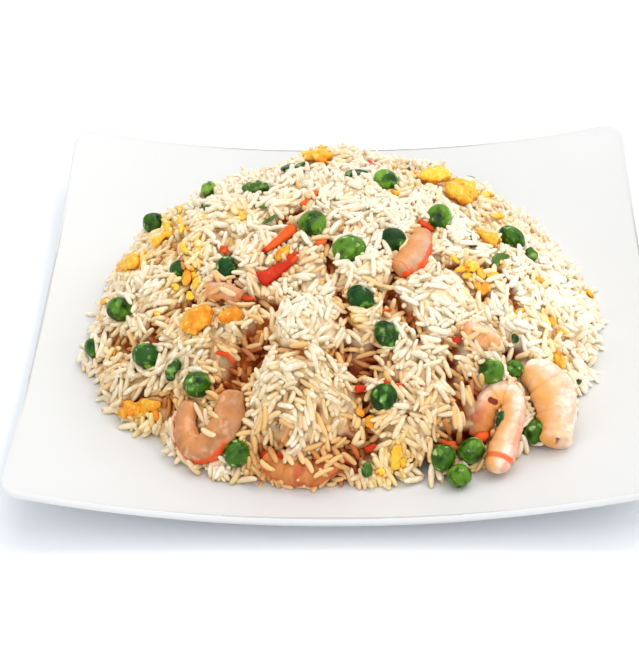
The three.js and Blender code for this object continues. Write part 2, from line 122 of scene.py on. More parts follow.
PEA_FORMS = {  # number: stretch, turn of the stretch in the view in degrees, tone, dents
    1: (1.05, 20, 0.8, 3), 2: (1.2, 5, 0.7, 2), 3: (1.08, -30, 0.1, 5), 4: (1.06, 70, 0.85, 5),
    5: (1.26, -38, 0.3, 2), 6: (1.12, -15, 1.0, 3), 7: (1.0, 0, 0.3, 4), 9: (1.12, 80, 0.0, 5),
    12: (1.1, -20, 0.1, 3), 13: (1.02, 40, 0.28, 5), 14: (1.08, 80, 0.35, 3), 15: (1.15, -40, 0.0, 6),
    16: (1.16, -60, 0.1, 5), 17: (1.06, 60, 0.1, 6), 18: (1.1, 30, 0.6, 2), 19: (1.05, 60, 0.5, 3),
    20: (1.15, 80, 0.3, 3), 21: (1.08, 40, 0.4, 4), 22: (1.1, 80, 0.3, 4), 23: (1.04, 0, 0.7, 3),
}
PEA_SINKING = {8: 2.2, 9: 1.8, 11: 1.6, 19: 0.8}  # the ones that rice half covers
# Paleness; the red rim's strength and stretch; the orange's strength and end, painted shade on the
# first shrimp's inner limb; the shares of the girth that grains keep off and that stays in sight; and how
# deep it sinks.
SHRIMP_LOOKS = [
    (0.85, 0.35, 0.7, 0.97, 1, 0.3, 0.98, 1.0, 0), (1.0, 0.0, 0, 1, 0, 0, 0.98, 1.0, 0),
    (0.0, 1.0, 0.02, 0.62, 0.1, 2, 0.98, 0.9, -0.5), (0.1, 0.5, 0, 1, 1, 2, 0.35, 0, 2.2),
    (0.3, 1.0, 0, 1, 0.2, 2, 0.85, 0.7, 0.6), (0.75, 0.3, 0, 1, 0, 0, 0.6, 0.3, 0.6),
    (0.4, 0.4, 0, 1, 0.2, 2, 0.6, 0.3, 1), (0.5, 0.5, 0, 1, 0, 0, 0.8, 0, 0),
]
HIDDEN_PEAS = 4  # the last ones, on the heap's back
BEAN_TONES = [0.25, 1, 0.3, 0.1, 0.4]  # from dark to light
EGG_TONES = [0.6, 1, 0.6, 0.15, 0.0, 0.6, 0.05, 0.5, 0.6, 0.6]  # from orange to yellow
RED_LOOKS = [(0.8, -0.4), (0.15, 0.6), (0.3, 0)]  # tone from dark red to orange, taper
SHOWN_PEA, SHOWN_SUNK_PEA, SHOWN_RED, SHOWN_EGG = 0.8, 0.2, 0.7, 0.6  # shares kept clear of grains
SLIT_LEAF = [  # pixels on the first shrimp beside the leaf's ends
    ((491, 429), (507, 429)), ((495, 411), (512, 411)),
]
SLIT_LEAF_WIDTH = 3.4
SHRIMP_SPOTS = [(491, 400), (495, 402), (557, 441), (561, 443), (222, 302)]  # browned, by pixel

# ---------- small pieces and tints, by pixels of the camera's view ----------

EGG_BITS = [  # x, y, x, y, width in mm, tone from orange to yellow
    (301, 156, 311, 151, 4, 1), (318, 151, 330, 149, 4, 0.4), (316, 160, 326, 161, 3.6, 0.1),
    (427, 168, 434, 171, 3.4, 0.9), (436, 166, 443, 171, 3, 1), (425, 179, 437, 183, 3, 0.3),
    (408, 171, 418, 173, 2.4, 0.4), (409, 184, 413, 185, 2.4, 0.8), (389, 165, 394, 167, 2.2, 0.6),
    (393, 190, 398, 194, 2.6, 0.4), (479, 197, 492, 194, 3.4, 1), (488, 215, 504, 214, 2.6, 0.7),
    (478, 229, 484, 234, 3, 0.6), (487, 235, 500, 240, 3.4, 0.9), (490, 243, 497, 246, 2.6, 0),
    (454, 269, 464, 266, 3, 0.7), (470, 261, 475, 268, 3, 0.9), (478, 267, 483, 278, 3, 0.4),
    (486, 276, 498, 274, 3, 0.8), (474, 281, 480, 290, 3.2, 0.2), (484, 282, 488, 291, 3, 0.1),
    (464, 291, 465, 299, 2.2, 1), (535, 276, 541, 282, 3, 0.4), (548, 315, 554, 323, 3, 0.5),
    (555, 331, 565, 331, 2.4, 0.5), (584, 288, 592, 289, 2.6, 0.9), (514, 312, 524, 308, 2.2, 0.5),
    (558, 352, 561, 367, 3.2, 0.6), (543, 363, 548, 363, 2.2, 0.3), (163, 205, 168, 208, 3, 0.8),
    (165, 222, 170, 229, 3.2, 0.8), (173, 226, 192, 228, 2, 0.5), (156, 243, 167, 236, 3, 0.6),
    (133, 256, 148, 252, 3.4, 0.5), (112, 256, 122, 258, 2.6, 0.4), (120, 262, 130, 270, 3.6, 0.1),
    (205, 217, 210, 211, 2.4, 0.8), (188, 259, 194, 270, 3, 0.7), (173, 284, 179, 289, 2.8, 0.9),
    (189, 290, 194, 298, 2.8, 0.9), (240, 211, 245, 219, 2.8, 0.7), (157, 310, 161, 313, 2.2, 0.7),
    (113, 346, 116, 353, 2.4, 0.6), (103, 294, 109, 300, 2.6, 0.7), (352, 307, 359, 316, 3.2, 0.5),
    (371, 413, 376, 425, 3, 0.8), (356, 406, 363, 414, 3, 0.1), (376, 487, 384, 478, 3.2, 0.8),
    (395, 446, 403, 470, 3.2, 0.7), (126, 425, 143, 425, 2.8, 0.1), (135, 405, 155, 401, 3, 0.1),
    (135, 412, 152, 408, 3.2, 0.3), (154, 404, 158, 418, 2.8, 0), (180, 384, 182, 404, 1.8, 0.9),
    (176, 216, 184, 232, 2.8, 0.9), (184, 238, 189, 254, 2.8, 0.8), (193, 270, 197, 288, 2.6, 0.8),
    (198, 236, 200, 250, 2.2, 0.7), (176, 206, 182, 211, 2.4, 0.9), (277, 260, 288, 245, 4.4, 0.0),
    (451, 255, 458, 262, 2.2, 0.9), (462, 276, 470, 272, 2.4, 0.7), (494, 258, 503, 262, 2.4, 0.8),
    (520, 258, 527, 264, 2.4, 0.6), (570, 300, 576, 309, 2.4, 0.8), (540, 336, 547, 344, 2.2, 0.8),
]
RED_BITS = [  # x, y, x, y, width in mm, tone from dark red to orange
    (313, 196, 319, 191, 3, 0.9), (300, 204, 312, 198, 3, 0.8), (369, 160, 371, 167, 2.4, 0.4),
    (338, 156, 348, 156, 3, 1), (222, 245, 226, 252, 2.4, 0.4), (354, 386, 366, 385, 3.2, 0.2),
    (461, 332, 468, 330, 3, 0.8), (383, 380, 405, 384, 2.4, 0.3), (382, 417, 387, 422, 2.6, 0.3),
    (364, 446, 376, 443, 2, 0.2), (333, 463, 356, 456, 2.4, 0.7), (303, 472, 330, 465, 3, 0.6),
    (262, 452, 270, 456, 3.4, 0.1), (276, 450, 284, 452, 3, 0.2), (228, 437, 240, 440, 3, 0.1),
    (243, 444, 253, 456, 3, 0.2), (216, 350, 236, 360, 2, 0.5), (440, 438, 456, 441, 2.6, 0.4),
    (473, 441, 487, 432, 4, 0.6), (231, 289, 256, 299, 2.2, 0.2), (316, 244, 326, 240, 3, 1),
    (371, 308, 392, 309, 1.8, 0.3), (452, 339, 460, 338, 2.2, 0), (262, 250, 272, 244, 2.6, 0.05),
    (257, 270, 270, 282, 3.4, 0.2), (272, 267, 284, 261, 3, 0.15), (284, 262, 299, 250, 2.2, 0.3),
]
HUMPS = [  # x, y, reach and rise in mm of the clumps that stand out
    (303, 320, 12, 4.2), (298, 384, 15, 4.0), (292, 428, 16, 3.2), (372, 268, 9, 4.0),
    (312, 262, 9, 3.0), (288, 205, 11, 3.0), (345, 195, 12, 2.8), (395, 212, 10, 3.2),
    (450, 232, 11, 2.6), (440, 300, 12, 3.0), (365, 322, 7, 2.6), (420, 372, 13, 3.2),
    (445, 415, 9, 2.6), (535, 255, 13, 2.8), (560, 300, 12, 2.6), (530, 330, 10, 2.8),
    (590, 340, 10, 2.2), (215, 215, 10, 3.0), (245, 250, 10, 2.8), (150, 285, 10, 3.2),
    (120, 390, 10, 3.0), (150, 440, 8, 2.2), (250, 320, 6, 2.4), (200, 330, 7, 2.2),
    (245, 200, 8, 2.2), (480, 430, 7, 2.0), (410, 450, 9, 2.6), (500, 300, 10, 2.4),
    (125, 340, 8, 2.6), (185, 265, 7, 2.2), (350, 420, 6, 2.0), (480, 262, 8, 2.0),
]
PITS = [  # x, y of the small dark holes between grains
    (267, 247), (331, 266), (338, 312), (349, 322), (343, 287), (370, 366), (339, 362), (296, 352),
    (278, 344), (252, 353), (265, 360), (244, 364), (261, 339), (260, 321), (250, 332), (236, 392),
    (232, 280), (268, 306), (419, 335), (456, 317), (406, 312), (431, 279), (406, 409), (353, 424),
    (324, 431), (309, 447), (350, 440), (355, 450), (411, 449), (418, 457), (427, 460), (412, 413),
    (438, 416), (222, 326), (186, 308), (221, 301), (204, 238), (170, 400), (159, 378), (152, 339),
    (214, 414), (480, 291), (487, 293), (512, 353), (298, 480), (345, 470), (446, 338), (475, 385),
    (297, 397), (384, 300), (512, 449), (330, 372), (303, 383), (420, 360), (436, 372), (300, 432),
    (318, 408), (280, 420), (390, 355), (410, 395), (448, 400), (284, 353), (308, 354), (322, 353),
    (336, 351), (140, 392), (128, 372), (180, 345), (206, 362), (352, 344), (540, 330), (500, 310),
    (455, 350), (396, 328), (224, 312),
]
GREEN_BITS = [  # x, y, x, y, width in mm, tone from dark to light
    (255, 205, 268, 206, 2, 0.4), (262, 222, 277, 213, 2, 0.3), (482, 360, 497, 356, 2.4, 0),
    (514, 332, 515, 341, 3.2, 0), (512, 312, 517, 310, 2, 0.2), (456, 227, 463, 219, 2.2, 0.2),
    (201, 224, 205, 227, 2.6, 0), (291, 299, 298, 302, 3, 0), (188, 366, 190, 371, 2, 0.1),
    (574, 399, 577, 414, 2.6, 0.3), (194, 207, 212, 200, 2.6, 0.1),
    (243, 189, 250, 181, 3, 0.2), (177, 275, 183, 277, 2.4, 0.1),
]
LOOSE = [  # x, y, x, y: grains that lie on the toppings
    (194, 404, 206, 426), (206, 411, 221, 421), (204, 432, 214, 437), (180, 257, 184, 272),
    (185, 259, 190, 272), (96, 337, 98, 354), (102, 340, 104, 356), (283, 452, 292, 464),
    (286, 486, 302, 480), (243, 472, 253, 479), (300, 452, 312, 446), (316, 477, 331, 470),
    (262, 464, 272, 471), (270, 480, 284, 484), (378, 262, 388, 274), (466, 341, 478, 334),
    (490, 345, 501, 352), (474, 330, 487, 333), (221, 290, 233, 296), (212, 295, 222, 288),
    (506, 386, 517, 379), (326, 468, 340, 458), (258, 472, 262, 483), (384, 244, 390, 256),
    (311, 450, 320, 462), (322, 450, 328, 464), (334, 450, 342, 462), (344, 456, 354, 464),
    (298, 450, 303, 463), (290, 449, 285, 462), (318, 463, 330, 458), (306, 462, 312, 472),
    (336, 466, 348, 470), (320, 472, 330, 478), (270, 450, 276, 462), (352, 448, 358, 458),
]
GAPS = [  # lines of x, y along the deep crevices between clumps
    [(240, 338), (232, 372), (236, 398)], [(263, 318), (244, 336)], [(238, 290), (262, 298), (290, 303)],
    [(343, 284), (344, 300), (352, 325)], [(366, 364), (376, 345)], [(384, 383), (404, 385)],
    [(300, 206), (282, 214)], [(176, 304), (196, 303)], [(168, 391), (174, 408)],
    [(470, 376), (482, 393)], [(506, 357), (520, 349)], [(262, 357), (246, 365)],
    [(473, 293), (488, 292)], [(150, 320), (154, 342)], [(345, 440), (357, 457)],
    [(262, 345), (284, 351), (303, 353)], [(326, 349), (345, 347)], [(248, 364), (262, 344)],
    [(352, 356), (366, 400), (372, 440)], [(395, 290), (420, 330)],
    [(330, 232), (330, 262)], [(398, 262), (388, 290)], [(225, 240), (235, 280)], [(176, 250), (196, 300)],
    [(95, 330), (130, 345), (160, 340)], [(460, 330), (450, 380), (465, 410)], [(270, 218), (330, 222)],
    [(420, 250), (450, 262), (500, 262)], [(505, 270), (520, 310)], [(130, 400), (175, 395)],
    [(366, 446), (376, 443)], [(440, 440), (486, 436)], [(211, 386), (246, 380)],
    [(312, 464), (334, 456)], [(376, 292), (384, 300)], [(262, 452), (286, 448)],
]
OIL_AND_SHADE = [  # x, y, reach in mm, strength of the orange oil on the rice there, which in the crevices is painted shade too
    (228, 384, 9, 0.8), (245, 345, 8, 0.5), (262, 300, 6, 0.5), (225, 288, 6, 0.4),
    (367, 350, 6, 0.6), (320, 266, 5, 0.5), (290, 214, 7, 0.3), (395, 386, 6, 0.5),
    (340, 455, 10, 0.5), (262, 322, 5, 0.7), (248, 338, 5, 0.7), (452, 443, 8, 0.7),
    (480, 436, 7, 0.7), (475, 385, 7, 0.5),
    (170, 395, 6, 0.5), (152, 330, 6, 0.45), (110, 378, 7, 0.3), (476, 290, 6, 0.5),
    (350, 310, 5, 0.5), (344, 288, 4, 0.6), (378, 294, 5, 0.5), (432, 418, 8, 0.35),
    (180, 304, 6, 0.4), (360, 412, 7, 0.5), (262, 455, 8, 0.6),
]
PAINTED_LIGHT_AND_SHADE = [  # x, y, reach in mm, how much lighter the rice is painted there, or darker below 0: painted light on the right and top, painted shade on the front and left
    (300, 410, 26, -0.65), (170, 320, 28, -0.55), (150, 410, 26, -0.5), (380, 445, 20, -0.6),
    (445, 420, 18, -0.45), (575, 305, 36, 0.8), (600, 380, 14, 0.6), (330, 460, 20, -0.3),
    (330, 318, 11, 0.3), (350, 200, 30, 0.1), (590, 360, 16, 0.5), (470, 240, 24, 0.3),
    (310, 350, 6, -0.5), (292, 363, 6, 0.4), (150, 240, 22, -0.25), (300, 345, 8, 0.2),
    (410, 215, 20, 0.1), (500, 300, 22, 0.3), (230, 250, 12, -0.2),
]
YOLK = [  # x, y, reach in mm, strength of the yellow tint
    (165, 225, 8, 0.6), (190, 265, 8, 0.5), (200, 230, 7, 0.4), (150, 255, 7, 0.6),
    (120, 262, 6, 0.6), (188, 295, 6, 0.5), (440, 180, 10, 0.4), (495, 215, 10, 0.3),
    (470, 265, 10, 0.4), (495, 235, 7, 0.5), (537, 279, 6, 0.5), (550, 320, 9, 0.4),
    (585, 290, 14, 0.2), (590, 350, 18, 0.2), (560, 360, 8, 0.4), (380, 480, 6, 0.5),
    (400, 455, 6, 0.5), (240, 214, 5, 0.4), (117, 350, 5, 0.4), (145, 412, 7, 0.5),
]

# ---------- grains ----------

SEED = 11
GRAINS = 7300
GRAIN_PIECES = 4
GRAIN_LENGTH, LENGTH_SPREAD = 7.9, 0.13
GRAIN_WIDTH, WIDTH_SPREAD, WIDTH_LIMITS = 2.3, 0.08, (0.8, 1.2)
GRAIN_FLATNESS = 0.84
GRAIN_SIDES = 8
GRAIN_RINGS = [(-0.94, 0.5), (-0.72, 0.84), (-0.28, 1), (0.3, 1), (0.72, 0.84), (0.94, 0.5)]  # along, girth
CLING = 0.62  # girth kept between grains, as a share of their own: they stick and merge
GRAIN_LEVELS = (-2.0, 1.0)  # the grains' middles over the heap's uneven surface
CORE_LEVEL = -0.6  # the pressed mass that the grains stick to
FILLER_LEVEL = -0.25
BROKEN_SHARE, BROKEN_LENGTHS = 0.1, (0.5, 0.75)
STEEP_SHARE, STEEP_LEANS = 0.1, (0.6, 1.3)  # radians, of the grains that stand out of the heap
HEADING_SPREAD, LEAN_SPREAD = 0.5, 0.32
SETTLE_STEPS = 36
PAIR_STEPS = 6  # steps between two searches for touching pairs
PUSH, PUSH_NEAR_END = 0.3, 1.4  # shares of an overlap that a step takes away
BALL_PUSH = 0.6
PULL = 0.08  # share of the way to its height that a grain goes back in a step
MOST_MOVE = 1.6
PLATE_GAP = 0.15
BURIED = 0.9  # a grain this deep in a topping is left out
OVERDRAW = 8  # places drawn for each that is kept
STEEPEST = 0.28  # the least upward share of the heap's normal that the spread allows for
CLUMPS = 160
CLUMP_LIFT, CLUMP_LIFT_SPREAD = 0.3, 0.7
CREVICE, CREVICE_WIDTH = 4.2, 2.8
HUMP_FOOT = 10  # clumps stand out fully from this height over the plate
HUMP_SINK = 1.2  # everything else sinks by this, so that the heap keeps its form
GAP_DEPTH = 4.6
GAP_REACH = 1.7
PIT_DEPTH = 3.2
PIT_REACH = 1.5
BANKING = 2.2  # how high grains bank up round a topping of the next half width or more
BANK_GIRTH, BANK_REACH = 4, 3
DEEP_FROM, DEEP_REACH = 1.1, 3.0  # painted shade: grain points below the first height darken towards amber and brown, over the second
OPEN_CUT = 0.65  # grains whose middles lie in this share of a gap's or pit's depth are left out
CORE_RINGS, CORE_AROUND, CORE_INSET = 120, 260, 2.5
CORE_GRAIN = [(0.6, 2.3, 3), (0.35, 1.1, 8)]  # height, size and seed of the core's own unevenness
FILLER_TRIES = 9000
FILLER_LENGTHS, FILLER_SPREAD, FILLER_GAP = (0.7, 1), 0.4, 0.8
LOOSE_LENGTHS = (0.7, 1.15)
MOST_BEND, TAPER_SPREAD = 0.9, 0.08
PALEST = 1.5  # the tone of the palest grains, which painted light brings them up to
DEPTH_SHADE_FROM, DEPTH_SHADE_REACH = 1.6, 3.5  # painted shade: whole grains below the first depth darken, over the second
TOUCH_REACH = 2.5  # how far a topping tints the rice
BACK_FROM = 0  # plan y from where the grains that sank into the core count as leaving it bare
SUNK = 0.3
BARE = 1.9  # a spot of the core this far from any grain's middle line gets one of its own

# ---------- camera and light ----------

AZIMUTH, ELEVATION, ROLL = (math.radians(a) for a in (2.65, 37.14, -2.05))
DISTANCE = 789
TARGET = np.array([-8.9, -29.1, 26])
LENS = 113.3
SENSOR = 36
IMAGE = (639, 658)
GRAIN_COVER = 1.5  # how far over the bare heap its pixels are placed
FLOOR_HALF = 4.0  # metres


# ---------- surfaces ----------

def rim_height(x, y):
    """Height of the plate's rim in the direction of a plan point."""
    low, high = np.minimum(abs(x), abs(y)), np.maximum(abs(x), abs(y))
    return RIM_MIDDLE + (RIM_CORNER - RIM_MIDDLE) * (low / np.maximum(high, 1e-6)) ** RIM_SWEEP


def plate_top(x, y):
    """Height of the plate's upper side."""
    radius = np.hypot(x, y)
    reach = PLATE_SIDE / 2 * radius / np.maximum(np.maximum(abs(x), abs(y)), 1e-6)
    t = np.clip((radius - WELL_RADIUS) / np.maximum(reach - WELL_RADIUS, 1e-6), 0, 1)
    return FLOOR_TOP + (rim_height(x, y) - FLOOR_TOP) * t ** FLARE


def heap_edge(angle):
    """How far the heap reaches in a direction."""
    swell = 0.014 * np.sin(3 * angle + 3.4) + 0.006 * np.sin(7 * angle + 2)
    return HEAP_RADIUS * (1 + swell + 0.005 * np.sin(12 * angle))


def heap_top(x, y):
    """Height of the bare heap."""
    x, y = np.asarray(x, float), np.asarray(y, float)
    t = np.minimum(np.hypot(x, y) / heap_edge(np.arctan2(y, x)), 1)
    fade = np.minimum((1 - t) * 5, 1)
    z = FLOOR_TOP + GAP + HEAP_HEIGHT * (1 - t ** CROWN) ** SHOULDER
    for lump_x, lump_y, reach, rise in LUMPS:
        z = z + rise * fade * np.exp(-((x - lump_x) ** 2 + (y - lump_y) ** 2) / reach ** 2)
    return z


def heap_normal(x, y):
    step = 0.2
    slope_x = (heap_top(x + step, y) - heap_top(x - step, y)) / (2 * step)
    slope_y = (heap_top(x, y + step) - heap_top(x, y - step)) / (2 * step)
    return unit(np.stack([-slope_x, -slope_y, np.ones_like(slope_x)], -1))


def on_heap(x, y):
    """Points on the bare heap."""
    return np.stack([x, y, heap_top(x, y)], -1)


def unit(v):
    return v / np.maximum(np.linalg.norm(v, axis=-1, keepdims=True), 1e-9)


def dot(a, b):
    return np.einsum("...i,...i->...", a, b)


def above(x, y, lift, half):
    """Points a lift above the heap, held clear of the plate by their half thickness."""
    x, y = np.asarray(x, float), np.asarray(y, float)
    point = on_heap(x, y) + heap_normal(x, y) * np.asarray(lift)[..., None]
    floor = plate_top(point[..., 0], point[..., 1]) + half + 2 * GAP
    point[..., 2] = np.maximum(point[..., 2], floor)
    return point


# ---------- camera ----------

def camera_axes():
    """The camera's place and its right, up and forward directions."""
    away = np.array([math.sin(AZIMUTH) * math.cos(ELEVATION),
                     -math.cos(AZIMUTH) * math.cos(ELEVATION), math.sin(ELEVATION)])
    right = unit(np.cross(-away, [0, 0, 1]))
    up = np.cross(right, -away)
    c, s = math.cos(ROLL), math.sin(ROLL)
    return TARGET + away * DISTANCE, c * right + s * up, c * up - s * right, -away


def ray_through(px, py):
    """The camera's place and the direction in which it sees a pixel."""
    place, right, up, forward = camera_axes()
    focal = LENS / SENSOR * IMAGE[1]
    return place, unit(forward + right * (px - IMAGE[0] / 2) / focal - up * (py - IMAGE[1] / 2) / focal)


def heap_hit(px, py):
    """How far along a pixel's ray the heap is."""
    place, ray = ray_through(px, py)
    steps = np.arange(0.8 * DISTANCE, 1.25 * DISTANCE, 0.25)
    points = place + ray * steps[:, None]
    x, y, z = points.T
    inside = np.hypot(x, y) < 0.98 * heap_edge(np.arctan2(y, x))
    over = np.where(inside, z - heap_top(x, y) - GRAIN_COVER, DISTANCE)
    return steps[np.argmax(over < max(0, over.min() + 0.01))]


def at_pixel(px, py):
    """The plan point of the heap that the camera sees at a pixel."""
    place, ray = ray_through(px, py)
    return (place + ray * heap_hit(px, py))[:2]


def on_view(px, py, centres, radii):
    """The first point of the heap or the toppings' balls that the camera sees at a pixel."""
    place, ray = ray_through(px, py)
    ahead = (centres - place) @ ray
    aside = np.sum((centres - place) ** 2, 1) - ahead ** 2
    met = aside < radii ** 2
    reach = ahead[met] - np.sqrt(radii[met] ** 2 - aside[met])
    return place + ray * min([heap_hit(px, py), *reach])


# ---------- meshes ----------

def make_mesh(name, points, triangles, material, attributes):
    """A smooth mesh object from points in millimetres, with float attributes on its points."""
    mesh = bpy.data.meshes.new(name)
    mesh.vertices.add(len(points))
    mesh.vertices.foreach_set("co", (np.asarray(points) * MM).astype(np.float32).ravel())
    mesh.loops.add(triangles.size)
    mesh.loops.foreach_set("vertex_index", triangles.astype(np.int32).ravel())
    mesh.polygons.add(len(triangles))
    mesh.polygons.foreach_set("loop_start", 3 * np.arange(len(triangles), dtype=np.int32))
    mesh.polygons.foreach_set("use_smooth", np.ones(len(triangles), bool))
    for key, values in attributes.items():
        layer = mesh.attributes.new(key, "FLOAT", "POINT")
        layer.data.foreach_set("value", np.asarray(values, np.float32))
    mesh.update(calc_edges=True)
    mesh.materials.append(material)
    piece = bpy.data.objects.new(name, mesh)
    bpy.context.scene.collection.objects.link(piece)
    return piece


def add_piece(name, parts, material, nodes):
    """One piece from several (points, triangles, attributes) parts, in place of CAD nodes."""
    points = np.concatenate([part[0] for part in parts])
    starts = np.cumsum([0] + [len(part[0]) for part in parts[:-1]])
    triangles = np.concatenate([part[1] + start for part, start in zip(parts, starts)])
    attributes = {key: np.concatenate([np.broadcast_to(part[2][key], len(part[0])) for part in parts])
                  for key in parts[0][2]}
    piece = make_mesh(name, points, triangles, material, attributes)
    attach(piece, "root")
    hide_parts(*nodes)


def loft_triangles(rings, sides):
    """Triangles over rings of points, each end closed to one point: start, rings, end."""
    ring, side = np.meshgrid(np.arange(rings - 1), np.arange(sides), indexing="ij")
    a = 1 + ring * sides + side
    b = 1 + ring * sides + (side + 1) % sides
    walls = np.stack([a, a + sides, b + sides, a, b + sides, b], -1).reshape(-1, 3)
    side = np.arange(sides)
    after = (side + 1) % sides
    last = 1 + (rings - 1) * sides
    start = np.stack([np.zeros_like(side), 1 + side, 1 + after], -1)
    end = np.stack([last + after, last + side, np.full_like(side, last + sides)], -1)
    return np.concatenate([start, walls, end])


def sweep(path, ups, widths, heights, sides, square=0.0):
    """A closed bar round a path: its first and last points are its tips. Square is 0 when round."""
    along = unit(np.gradient(path, axis=0))
    side = unit(np.cross(along, ups))
    up = np.cross(side, along)
    angle = TAU * np.arange(sides) / sides
    across = np.sign(np.cos(angle)) * abs(np.cos(angle)) ** (1 - square)
    rise = np.sign(np.sin(angle)) * abs(np.sin(angle)) ** (1 - square)
    rings = (path[:, None] + side[:, None] * (widths[:, None] * across)[..., None]
             + up[:, None] * (heights[:, None] * rise)[..., None])[1:-1]
    points = np.concatenate([path[:1], rings.reshape(-1, 3), path[-1:]])
    return points, loft_triangles(len(rings), sides)


def curve(points, count):
    """Points evenly spread in parameter on a smooth curve through the given ones."""
    points = np.asarray(points, float)
    padded = np.concatenate([2 * points[:1] - points[1:2], points, 2 * points[-1:] - points[-2:-1]])
    place = np.linspace(0, len(points) - 1, count)
    i = np.minimum(place.astype(int), len(points) - 2)
    t = (place - i)[:, None]
    a, b, c, d = (padded[i + k] for k in range(4))
    return 0.5 * (2 * b + (c - a) * t + (2 * a - 5 * b + 4 * c - d) * t ** 2
                  + (3 * b - a - 3 * c + d) * t ** 3)


def rough(points, size, seed):
    """Smooth noise, about -1 to 1, at points, with features of a size."""
    shift = Vector((seed * 7.13, seed * 3.71, seed * 5.37))
    return np.array([noise.noise(Vector(p) / size + shift) for p in points]) * 1.6


def push_out(points, middle, amount):
    """Points moved away from a middle line's nearest points by an amount."""
    gaps = np.linalg.norm(points[:, None] - middle[None], axis=-1)
    nearest = middle[np.argmin(gaps, 1)]
    return points + unit(points - nearest) * amount[:, None]


# ---------- materials ----------

class Nodes:
    """A short hand for the nodes of one material."""

    def __init__(self, name):
        self.material = bpy.data.materials.new(name)
        self.material.use_nodes = True
        self.tree = self.material.node_tree
        self.shader = self.tree.nodes["Principled BSDF"]

    def node(self, kind, values=None, **settings):
        made = self.tree.nodes.new("ShaderNode" + kind)
        for key, value in settings.items():
            setattr(made, key, value)
        for key, value in (values or {}).items():
            self.put(made.inputs[key], value)
        return made

    def put(self, socket, value):
        if isinstance(value, bpy.types.NodeSocket):
            self.tree.links.new(value, socket)
        else:
            socket.default_value = value

    def attributes(self, *names):
        return [self.node("Attribute", attribute_name=name).outputs["Fac"] for name in names]

    def noise(self, scale):
        """Noise with so many features to the metre."""
        place = self.node("TexCoord").outputs["Object"]
        return self.node("TexNoise", {"Vector": place, "Scale": scale, "Detail": 3}).outputs["Fac"]

    def band(self, value, low, high, start=0.0, end=1.0):
        """The value's stretch from low to high, taken smoothly to start and end."""
        values = {"Value": value, "From Min": low, "From Max": high, "To Min": start, "To Max": end}
        return self.node("MapRange", values, interpolation_type="SMOOTHSTEP").outputs["Result"]

    def times(self, a, b):
        return self.node("Math", {0: a, 1: b}, operation="MULTIPLY").outputs[0]

    def mix(self, factor, a, b):
        """A blend of two colours, each three numbers or another blend."""
        colour = lambda c: c if isinstance(c, bpy.types.NodeSocket) else (*c, 1)
        values = {0: factor, 6: colour(a), 7: colour(b)}
        return self.node("Mix", values, data_type="RGBA").outputs[2]

    def mottle(self, body, scale, low, high, colour, share=1.0):
        """A body with a colour where noise of a scale runs from low to high, as strong as the share."""
        return self.mix(self.band(self.noise(scale), low, high, 0, share), body, colour)

    def bump(self, scale, height, strength=1.0):
        """Unevenness of a scale, its height in millimetres."""
        values = {"Height": self.noise(scale), "Distance": height * MM, "Strength": strength}
        self.put(self.shader.inputs["Normal"], self.node("Bump", values).outputs[0])

    def finish(self, colour, roughness, specular, coat=(0, 0), flesh=(0, (1, 0.2, 0.1))):
        """The material; coat is weight and roughness, flesh is the weight of the light that passes
        under the surface and its reach in millimetres for each colour."""
        values = {"Base Color": colour, "Roughness": roughness, "Specular IOR Level": specular,
                  "Coat Weight": coat[0], "Coat Roughness": coat[1], "Subsurface Weight": flesh[0],
                  "Subsurface Radius": flesh[1], "Subsurface Scale": MM}
        for key, value in values.items():
            self.put(self.shader.inputs[key], value)
        return self.material


def rice_material():
    m = Nodes("cooked_rice")
    tone, stain, yolk, deep = m.attributes("tone", "stain", "yolk", "deep")
    # painted light and shade: the tone, partly random and partly painted, runs from shaded tan to lit cream
    body = m.mix(tone, (0.75, 0.60, 0.37), (0.93, 0.84, 0.67))
    body = m.mottle(body, 420, 0.4, 0.75, (0.95, 0.90, 0.78))
    # painted light: tones above 1 turn near white where the lit side is painted brighter
    body = m.mix(m.band(tone, 1.0, PALEST), body, (0.98, 0.94, 0.83))
    # painted shade: points deep among the grains turn amber, then brown
    body = m.mix(m.band(deep, 0.0, 0.6, 0, 0.75), body, (0.86, 0.67, 0.36))
    body = m.mix(m.band(deep, 0.5, 1.0, 0, 0.8), body, (0.62, 0.38, 0.14))
    body = m.mix(yolk, body, (0.94, 0.66, 0.18))
    # stain: oil on the rice and painted shade on deep grains and those in gaps and pits, through tan to
    # dark red-brown
    body = m.mix(m.band(stain, 0.0, 0.5), body, (0.80, 0.51, 0.20))
    oiled_and_shaded = m.mottle((0.36, 0.06, 0.008), 90, 0.35, 0.65, (0.58, 0.22, 0.045))
    m.bump(900, 0.1, 0.4)
    return m.finish(m.mix(m.band(stain, 0.4, 1.0), body, oiled_and_shaded), 0.4, 0.12, (0.3, 0.16))


def core_material():
    m = Nodes("rice_depths")
    tone, yolk, depth = m.attributes("tone", "yolk", "depth")
    # painted light and shade: the mass's tone follows the rice's painted patches
    mass = m.mix(tone, (0.68, 0.47, 0.22), (0.94, 0.84, 0.62))
    mass = m.mottle(mass, 300, 0.4, 0.65, (0.93, 0.82, 0.58), 0.5)
    mass = m.mix(yolk, mass, (0.90, 0.52, 0.09))
    # painted shade in the gaps and pits, partly oil: the mass turns dark red where depth is high
    oil_and_shade_colour = m.mottle((0.15, 0.014, 0.002), 130, 0.35, 0.65, (0.44, 0.10, 0.011))
    m.bump(500, 0.6)
    return m.finish(m.mix(depth, mass, oil_and_shade_colour), 0.5, 0.1)


